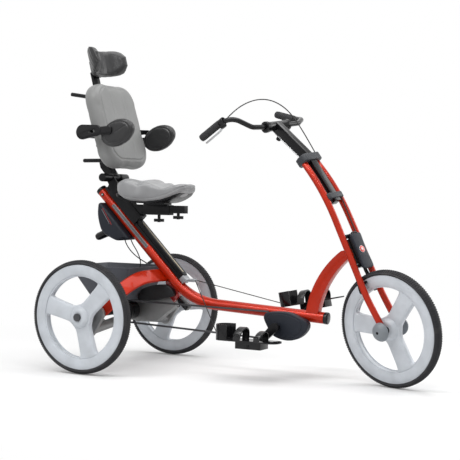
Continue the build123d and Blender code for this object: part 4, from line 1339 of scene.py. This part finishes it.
@dataclass
class Upholstery:
    """Padded pieces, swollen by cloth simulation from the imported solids.

    The rounds are how often a cover is relaxed before and after it is filled.
    """

    shop: Workshop
    rounds: tuple[int, int] = (4, 9)
    frames: int = 20
    pressure: float = 4.0

    def pad(self, name: str, node: str, voxel: float, shrink: float, cap: float, fill: float, base: Matrix,
            shape: Callable[[Vector], Vector], sewn: Callable[[Vector, Vector], float],
            only: Callable[[Vector], bool] | None = None) -> bpy.types.Object:
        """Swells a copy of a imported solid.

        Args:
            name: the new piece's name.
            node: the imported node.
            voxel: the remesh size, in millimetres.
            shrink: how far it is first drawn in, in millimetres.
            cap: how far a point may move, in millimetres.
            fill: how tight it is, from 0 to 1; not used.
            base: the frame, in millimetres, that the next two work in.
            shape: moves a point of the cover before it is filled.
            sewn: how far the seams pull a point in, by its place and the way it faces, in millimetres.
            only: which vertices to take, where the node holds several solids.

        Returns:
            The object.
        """
        bm = bmesh.new()
        bm.from_mesh(bpy.data.objects[node].data)
        bmesh.ops.remove_doubles(bm, verts=bm.verts, dist=1e-5)
        if only:
            bmesh.ops.delete(bm, geom=[v for v in bm.verts if not only(v.co)], context="VERTS")
        obj = Mesher.new(name, bm, Matrix.Identity(4), 180)
        remesh = obj.modifiers.new("voxels", "REMESH")
        remesh.mode = "VOXEL"
        remesh.voxel_size = voxel * MM
        self.bake(obj)
        for v in obj.data.vertices:
            v.co = v.co - v.normal * shrink * MM
        back, turn = base.inverted(), base.to_3x3().normalized().inverted()
        for v in obj.data.vertices:
            v.co = base @ shape(back @ v.co)
        self.relax(obj, self.rounds[0])
        self.swell(obj, cap)
        self.relax(obj, self.rounds[1])
        smooth = obj.modifiers.new("smooth", "SUBSURF")
        smooth.levels = smooth.render_levels = 1
        self.bake(obj)
        moves = [v.normal * sewn(back @ v.co, turn @ v.normal) * MM for v in obj.data.vertices]
        for v, move in zip(obj.data.vertices, moves):
            v.co = v.co - move
        Mesher.shade(obj, 180)
        return obj

    @staticmethod
    def bake(obj: bpy.types.Object) -> None:
        """Makes the object's modifiers part of its mesh."""
        bpy.context.view_layer.update()
        mesh = evaluated_mesh(obj)
        obj.modifiers.clear()
        obj.data = mesh

    @staticmethod
    def relax(obj: bpy.types.Object, rounds: int) -> None:
        """Averages neighbouring vertices."""
        bm = bmesh.new()
        bm.from_mesh(obj.data)
        for _ in range(rounds):
            bmesh.ops.smooth_vert(bm, verts=bm.verts, factor=0.5, use_axis_x=True, use_axis_y=True, use_axis_z=True)
        bm.to_mesh(obj.data)
        bm.free()

    def swell(self, obj: bpy.types.Object, cap: float) -> None:
        """Fills the cover with air for some frames, and keeps each point within the cap."""
        before = [v.co.copy() for v in obj.data.vertices]
        cloth = obj.modifiers.new("fill", "CLOTH")
        cloth.settings.use_pressure = True
        cloth.settings.uniform_pressure_force = self.pressure
        cloth.settings.effector_weights.gravity = 0.0
        cloth.settings.quality = 4
        cloth.point_cache.frame_start, cloth.point_cache.frame_end = 1, self.frames
        for number in range(1, self.frames + 1):
            bpy.context.scene.frame_set(number)
        self.bake(obj)
        for v, was in zip(obj.data.vertices, before):
            move = v.co - was
            if move.length > cap * MM:
                v.co = was + move.normalized() * cap * MM
        bpy.context.scene.frame_set(1)


def pulled(distance: float, width: float, depth: float) -> float:
    """How far a seam pulls the cover in at some distance from it."""
    return depth * math.exp(-(distance / width) ** 2)


def from_frame(across: float, up: float, half_wide: float, half_high: float, corner: float) -> float:
    """Distance from the outline of an oblong with rounded corners, negative inside."""
    a, b = abs(across) - half_wide + corner, abs(up) - half_high + corner
    return math.hypot(max(a, 0), max(b, 0)) + min(max(a, b), 0) - corner


@dataclass
class SeatAndBack:
    """Seat, backrest, headrest and side pads with their hardware."""

    shop: Workshop
    seat_top: tuple = ((-40, 838), (-16, 846), (45, 862), (125, 838), (210, 815), (285, 836), (325, 856), (350, 858))
    seat_dip: float = 420.0
    seat_was: tuple = ((-22, 855), (140, 812), (314, 862))
    seat_under: tuple = ((-22, 806), (140, 758), (314, 818))
    back_mid: float = 231.0
    back_half: Flat = (175.0, 210.0)
    pad_turn: float = 34.0
    pad_middle: Flat = (192.0, 154.0)
    pad_half: Flat = (88.0, 60.0)
    fill: float = 0.8
    stitch_gap: float = 5.2
    slot_lean: float = -11.0

    def saddle(self, p: Vector) -> Vector:
        """Raises the seat's rear and front and lets the middle dip."""
        was, under = self.arc(*self.seat_was, p.x), self.arc(*self.seat_under, p.x)
        rows = self.seat_top
        k = max(i for i in range(len(rows) - 1) if rows[i][0] <= max(p.x, -40))
        t = min(1.0, max(0.0, (p.x - rows[k][0]) / (rows[k + 1][0] - rows[k][0])))
        eased = rows[k][1] + (rows[k + 1][1] - rows[k][1]) * t * t * (3 - 2 * t)
        trough = 849 + p.y * p.y / (2 * self.seat_dip)
        eased -= 9 * max(0.0, (p.x - 285) / 29) ** 2
        top = min(eased, trough) if p.x < 120 else eased + p.y * p.y / (3 * self.seat_dip) - 3
        share = min(1.0, max(0.0, (p.z - under) / max(1.0, was - under)))
        return Vector((p.x + 8, p.y, p.z + (top - was) * share * share))

    @staticmethod
    def arc(first: Flat, second: Flat, third: Flat, x: float) -> float:
        """Height at x of the arc through three points, taken as a parabola."""
        (a, p), (b, q), (c, r) = first, second, third
        return (p * (x - b) * (x - c) / ((a - b) * (a - c)) + q * (x - a) * (x - c) / ((b - a) * (b - c))
                + r * (x - a) * (x - b) / ((c - a) * (c - b)))

    def seat_seam(self, p: Vector, normal: Vector) -> float:
        """The seat's seam, low round its side, and two faint channels across its top."""
        if normal.z < -0.5:
            return 0.0
        if normal.z < 0.6:
            return pulled(p.z - self.arc(*self.seat_under, p.x) - 13, 2.6, 1.8)
        return pulled(abs(p.y) - 62, 9, 0.7)

    def back_seam(self, p: Vector, normal: Vector) -> float:
        """The edge roll round the front of the back, and two upright channels."""
        (wide, high), up = self.back_half, p.z - self.back_mid
        if abs(normal.x) < 0.2:
            return 0.0
        if normal.x < 0:
            return pulled(from_frame(p.y, up, wide - 10, high - 10, 85), 3, 1.0)
        roll = pulled(from_frame(p.y, up, wide - 36, high - 36, 70), 4.5, 2.6)
        return max(roll, pulled(abs(p.y) - 48, 7, 1.3) if abs(up) < high - 44 else 0.0)

    def back_shape(self, p: Vector) -> Vector:
        """Makes the back a little thicker, wider and lower, as its filling swells it."""
        return Vector((40 + (p.x - 49) * 1.15 - 0.02 * p.z, p.y * 1.03, p.z - 6))

    def head_shape(self, p: Vector) -> Vector:
        """Rounds the headrest's wings towards their front and draws them forward."""
        ahead = max(0.0, min(49.0, p.x - 74.0))
        share = (13 + math.sqrt(50 ** 2 - ahead ** 2)) / 63
        return Vector((10 + (p.x - 10) * 1.06, p.y, 543 + (p.z - 545) * share))

    def head_seam(self, p: Vector, normal: Vector) -> float:
        """The seam beside the right wing, and the soft pleats gathered there."""
        seam = pulled(p.y + 84, 3.2, 2.2)
        pleats = 0.7 * (1 + math.sin(p.x * 0.34 + p.z * 0.16 + 1.6 * math.sin(p.z * 0.05))) if p.y < -90 else 0.0
        return seam + pleats * min(1.0, max(0.0, (-p.y - 90) / 8))

    @staticmethod
    def pad_shift(p: Vector) -> float:
        """How far forward the side pad at that place has moved."""
        return 1.0 if p.y < 0 else -18.0

    def pad_shape(self, p: Vector) -> Vector:
        """Turns a side pad level and moves it to its place."""
        x, z = self.pad_middle
        level = Matrix.Rotation(math.radians(self.pad_turn), 3, "Y") @ Vector((p.x - x, 0, p.z - z))
        return Vector((level.x * 1.03 + x + self.pad_shift(p), p.y, level.z * 1.02 + z - 1))

    def pad_seam(self, p: Vector, normal: Vector) -> float:
        """The seam inside a side pad's rim, and a crease across its outer face."""
        if abs(normal.y) < 0.5:
            return 0.0
        x = self.pad_middle[0] + self.pad_shift(p)
        half_long, half_high = self.pad_half
        reach = math.hypot((p.x - x) / half_long, (p.z - self.pad_middle[1] + 1) / half_high)
        creased = normal.y * p.y > 0 and p.x > x - 20 and reach < 0.76
        crease = pulled((p.z - 158) - 0.22 * (p.x - x), 2.4, 1.6) if creased else 0.0
        return max(pulled((reach - 0.8) * 74, 2.8, 2.6), crease)

    def stitches(self) -> None:
        """A row of stitches beside the back's edge roll, laid on the swollen cover."""
        cover = bpy.data.objects["back_cushion_dressed"]
        tree = BVHTree.FromObject(cover, bpy.context.evaluated_depsgraph_get())
        base = self.shop.yard.back
        wide, high = self.back_half[0] - 41, self.back_half[1] - 41
        run = rounded_box(2 * wide, 2 * high, 64, 14)
        ahead = (base.to_3x3() @ Vector((1, 0, 0))).normalized()
        path = []
        for (a, b), (c, d) in zip(run, run[1:] + run[:1]):
            count = max(1, round(math.hypot(c - a, d - b) / 12))
            for k in range(count):
                place = base @ Vector((260, a + (c - a) * k / count, self.back_mid + b + (d - b) * k / count))
                hit = tree.ray_cast(place, -ahead)[0]
                if hit:
                    path.append(hit + ahead * 0.0001)
        bm = bmesh.new()
        bmesh.ops.create_cube(bm, size=1)
        for v in bm.verts:
            v.co = Vector((v.co.x * 3.4, v.co.y * 0.9 * (0.6 if abs(v.co.x) > 0.4 else 1), v.co.z * 0.9)) * MM
        seed = Mesher.new("stitch", bm, Matrix.Identity(4), 60)
        thread = self.shop.palette.material("thread")
        row = Grower.along("back_stitches", path, self.stitch_gap * MM, seed, thread, True)
        self.shop.hand_over(row, "thread", Body.BACK)

    def side_arms(self) -> None:
        """The straps from the back to the side pads: bracket with its oval hole, and the pad's holder."""
        base = self.shop.yard.back
        slot = moved(76, 192, 0) @ turned("Z", self.slot_lean)
        hole = [tuple((slot @ Vector((a, b, 0))).to_2d()) for a, b in rounded_box(30, 14, 6.9, 6)]
        pieces = []
        for sign in (-1, 1):
            pieces.append(Mesher.plate("bracket", [hulled((25, 203, 34), (100, 189, 25)), hole], 12, 3,
                                       facing_side(base, sign * 216.5), 50, 4))
            holder = facing_side(base, sign * 215.5) @ moved(136, 178, 0) @ turned("Z", self.slot_lean)
            pieces.append(Mesher.plate("holder", [rounded_box(84, 38, 15, 5)], 9, 3, holder, 50, 4))
            strap = base @ moved(25, sign * 124, 203) @ turned("Y", 90)
            pieces.append(Mesher.plate("strap", [rounded_box(50, 196, 6, 4)], 15, 4, strap, 50, 3))
        arms = Mesher.join("side_pad_arms_dressed", pieces, 50)
        self.shop.hand_over(arms, "gloss_black", Body.BACK, "side_pad_arms")
        rods = []
        for sign in (-1, 1):
            for ends in (((38, 70), (-76, 101)), ((38, 372), (-65, 418))):
                run = [(x, sign * 100, z) for x, z in ends]
                rods.append(Mesher.sweep("rod", run, circle(9, 24), base, (0, 1, 0), dome=0.6))
        self.shop.hand_over(Mesher.join("rear_handles_dressed", rods, 50), "satin_black", Body.BACK, "rear_handles")
        knobs = [Mesher.lathe("knob", [(0, -3), (11, -3), (13, -1), (13, 5), (10, 8), (0, 8)],
                              base @ moved(x, -94, z), 28, False) for x, z in ((22, 90), (22, 352), (14, 150))]
        self.shop.hand_over(Mesher.join("back_knobs", knobs, 40), "satin_black", Body.BACK)

    def build(self) -> None:
        """Makes the seat and the back."""
        soft = Upholstery(self.shop)
        shop, plain, back = self.shop, self.shop.yard.plain, self.shop.yard.back
        for node, finish, body, base, voxel, shrink, cap, shape, sewn in (
                ("seat_cushion", "seat", Body.SEAT, plain, 5.5, 3.0, 8.0, self.saddle, self.seat_seam),
                ("back_cushion", "back", Body.BACK, back, 5.5, 2.0, 9.0, self.back_shape, self.back_seam),
                ("headrest_pad", "head", Body.BACK, back, 4.0, 2.0, 6.0, self.head_shape, self.head_seam)):
            cover = soft.pad(node + "_dressed", node, voxel, shrink, cap, self.fill, base, shape, sewn)
            shop.hand_over(cover, finish, body, node)
            if node == "back_cushion":
                self.stitches()
        for side, sign in (("right", -1), ("left", 1)):
            pad = soft.pad("side_pad_" + side, "side_pads", 4.0, 1.5, 5.0, self.fill, back, self.pad_shape,
                           self.pad_seam, lambda p, s=sign: p.y * s > 0)
            shop.hand_over(pad, "head", Body.BACK, *(("side_pads",) if sign < 0 else ()))
        self.side_arms()
        for node, body, width in (("seat_carriage", Body.SEAT, 1.5), ("seat_beam", Body.SEAT, 1.5),
                                  ("seat_pan", Body.SEAT, 2.0), ("back_frame", Body.BACK, 1.5),
                                  ("headrest_plate", Body.BACK, 1.5)):
            shop.soften(node, "satin_black", body, width)


# ---------------------------------------------------------------- cords


@dataclass
class Cords:
    """Elastic pedal cords and the thin cables.

    Each row has (name, turned with the fork, route's corners, radius, lay, stiffness, length, replaced node).
    """

    shop: Workshop
    rows: tuple = (
        ("pedal_cord_right", False, ((352, -9, 404), (451, -84.5, 297), (550.4, -160, 190.2)),
         2.0, "taut", "limp", 328.0, ("pedal_cords",)),
        ("pedal_cord_left", False, ((352, 9, 404), (527, 84.5, 357), (701.7, 160, 310.3)),
         2.0, "taut", "limp", 392.0, ()),
        ("pod_cable_right", False, ((-30, -10, 584), (-24, -10, 560), (10, -10, 520), (55, -10, 490), (95, -10, 472)),
         2.5, "loose", "medium", 173.0, ("pod_cables",)),
        ("pod_cable_left", False, ((-12, 12, 588), (-6, 12, 566), (30, 12, 520), (50, 12, 470), (32, 12, 430),
                                   (10, 12, 412)), 2.5, "loose", "medium", 198.0, ()),
        ("brake_cable_upper", True, ((-203, -216, 722), (-180, -180, 744), (-152, -130, 760), (-130, -75, 764),
                                     (-112, -20, 750), (-95, 22, 712), (-76, 40, 655), (-52, 40, 560),
                                     (-34, 38, 449.3)), 2.5, "loose", "medium", 540.0, ("brake_cable",)),
        ("brake_cable_lower", True, ((13, 30, 222), (13, 30, 141), (13, 30, 59.3)), 2.5, "taut", "medium", 162.0, ()))

    def build(self) -> None:
        """Strings the two pedal cords, the two pod cables and the brake cable."""
        yard = self.shop.yard
        for name, steered, points, radius, lay, stiffness, length, replaced in self.rows:
            place, body = (yard.fork, Body.STEER) if steered else (yard.plain, Body.FRAME)
            curve = bpy.data.curves.new(name, "CURVE")
            curve.dimensions = "3D"
            curve.bevel_depth, curve.bevel_resolution, curve.use_fill_caps = radius * MM, 3, True
            curve.resolution_u = 10
            spline = curve.splines.new("NURBS")
            spline.points.add(len(points) - 1)
            route = [place @ Vector(p) for p in points]
            for point, co in zip(spline.points, route):
                point.co = (*co, 1.0)
            spline.order_u = 3
            spline.use_endpoint_u = True
            finish = "cord" if stiffness == "limp" else "cable"
            cord = self.shop.hand_over(placed(name, curve), finish, body, *replaced)


# ---------------------------------------------------------------- studio


@dataclass
class Studio:
    """Floor, light and camera. The lamps have the columns (name, place, size, power, width)."""

    yard: Yard
    eye: tuple[float, float, float] = (2977.698, -4638.167, 792.649)
    azimuth: float = 27.923
    elevation: float = 1.693
    roll: float = 0.9267
    focal: float = 92.43
    lamps: tuple = (("key", (-1.2, -3.2, 3.6), 2.4, 52, 2.4), ("top", (0.4, 0.6, 4.4), 3.2, 80, 3.2),
                    ("rim", (2.6, 2.6, 2.2), 2.0, 35, 2.0), ("strip", (0.2, -1.6, 3.2), 3.4, 34, 0.22))

    def camera(self) -> None:
        """The camera at the photograph's place."""
        az, el, roll = (math.radians(a) for a in (self.azimuth, self.elevation, self.roll))
        right = Vector((math.cos(az), math.sin(az), 0))
        back = Vector((math.sin(az) * math.cos(el), -math.cos(az) * math.cos(el), math.sin(el)))
        up = back.cross(right)
        right, up = right * math.cos(roll) + up * math.sin(roll), up * math.cos(roll) - right * math.sin(roll)
        data = bpy.data.cameras.new("camera")
        data.lens, data.sensor_width = self.focal, 36.0
        data.clip_end = 60.0
        camera = placed("camera", data)
        aim = Matrix((right, up, back)).transposed().to_4x4()
        camera.matrix_world = Matrix.Translation(self.yard.at(*self.eye)) @ aim
        bpy.context.scene.camera = camera

    def lamp(self, name: str, place: Sequence[float], size: float, power: float, width: float) -> None:
        """A soft lamp aimed at the seat."""
        data = bpy.data.lights.new(name, "AREA")
        data.shape, data.size, data.energy = "RECTANGLE", size, power
        data.size_y = width
        lamp = placed(name, data)
        lamp.location = Vector(place)
        aim = Vector((0, 0, 0.55)) - lamp.location
        lamp.rotation_euler = aim.to_track_quat("-Z", "Y").to_euler()

    def floor(self) -> None:
        """A pale floor that shows white to the camera and keeps the shadow."""
        bm = bmesh.new()
        bmesh.ops.create_grid(bm, x_segments=1, y_segments=1, size=40)
        floor = Mesher.new("floor", bm, moved(0, 0, -0.0005))
        b = Bench("studio_floor")
        cloud = b.noise(0.8, 2.0)
        tone = b.mix(cloud, (0.8, 0.8, 0.8), (0.84, 0.84, 0.84))
        shader = b.make("ShaderNodeBsdfPrincipled", None,
                        {"Base Color": tone, "Roughness": 0.8, "Specular IOR Level": 0.2})
        seen = b.make("ShaderNodeLightPath", out="Is Camera Ray")
        glow = b.make("ShaderNodeEmission", None, {"Color": (1.0, 1.0, 1.0, 1.0), "Strength": seen * 0.06})
        near = b.make("ShaderNodeAddShader", None, {0: shader, 1: glow})
        white = b.make("ShaderNodeEmission", None, {"Color": (1.0, 1.0, 1.0, 1.0), "Strength": 1.0})
        distance = b.make("ShaderNodeVectorMath", {"operation": "LENGTH"}, {0: b.where((0.85, 1.25, 0.0))}, "Value")
        away = b.ramp(distance * 0.25, (0.18, 0.0), (0.55, 1.0))
        b.make_output(b.make("ShaderNodeMixShader", None, {0: away * seen, 1: near, 2: white}))
        floor.data.materials.append(b.owner)

    def sky(self) -> None:
        """Even light from all round, and a white background for the camera and in metal and glass."""
        b = Bench("studio", "worlds")
        bpy.context.scene.world = b.owner
        shiny = b.make("ShaderNodeLightPath", out="Is Camera Ray")
        for ray in ("Is Transmission Ray", "Is Glossy Ray"):
            shiny = b.make("ShaderNodeMath", {"operation": "MAXIMUM"},
                           {0: shiny, 1: b.make("ShaderNodeLightPath", out=ray)})
        up = b.make("ShaderNodeSeparateXYZ", None, {0: b.make("ShaderNodeTexCoord", out="Generated")}, "Z")
        fade = b.make("ShaderNodeMapRange", None,
                      {"Value": up, "From Min": -0.4, "From Max": 0.9, "To Min": 0.17, "To Max": 0.68})
        rest = b.make("ShaderNodeMath", {"operation": "SUBTRACT"}, {0: 1.0, 1: fade})
        strength = b.make("ShaderNodeMath", {"operation": "MULTIPLY_ADD"}, {0: shiny, 1: rest, 2: fade})
        light = b.make("ShaderNodeBackground", None, {"Color": (1.0, 1.0, 1.0), "Strength": strength})
        b.make_output(light, "ShaderNodeOutputWorld")

    def build(self) -> None:
        """Sets up the studio."""
        bpy.context.scene.view_settings.view_transform = "Standard"
        self.camera()
        self.sky()
        self.floor()
        for row in self.lamps:
            self.lamp(*row)


def main() -> None:
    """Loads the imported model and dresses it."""
    logging.basicConfig(level=logging.INFO, format="%(name)s: %(message)s")
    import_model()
    yard = Yard()
    shop = Workshop(yard, Palette())
    Studio(yard).build()
    for assembly in (Cords(shop), WheelSet(shop), MainFrame(shop), Steering(shop), Drive(shop), SeatAndBack(shop)):
        assembly.build()


if __name__ == "__main__":
    main()
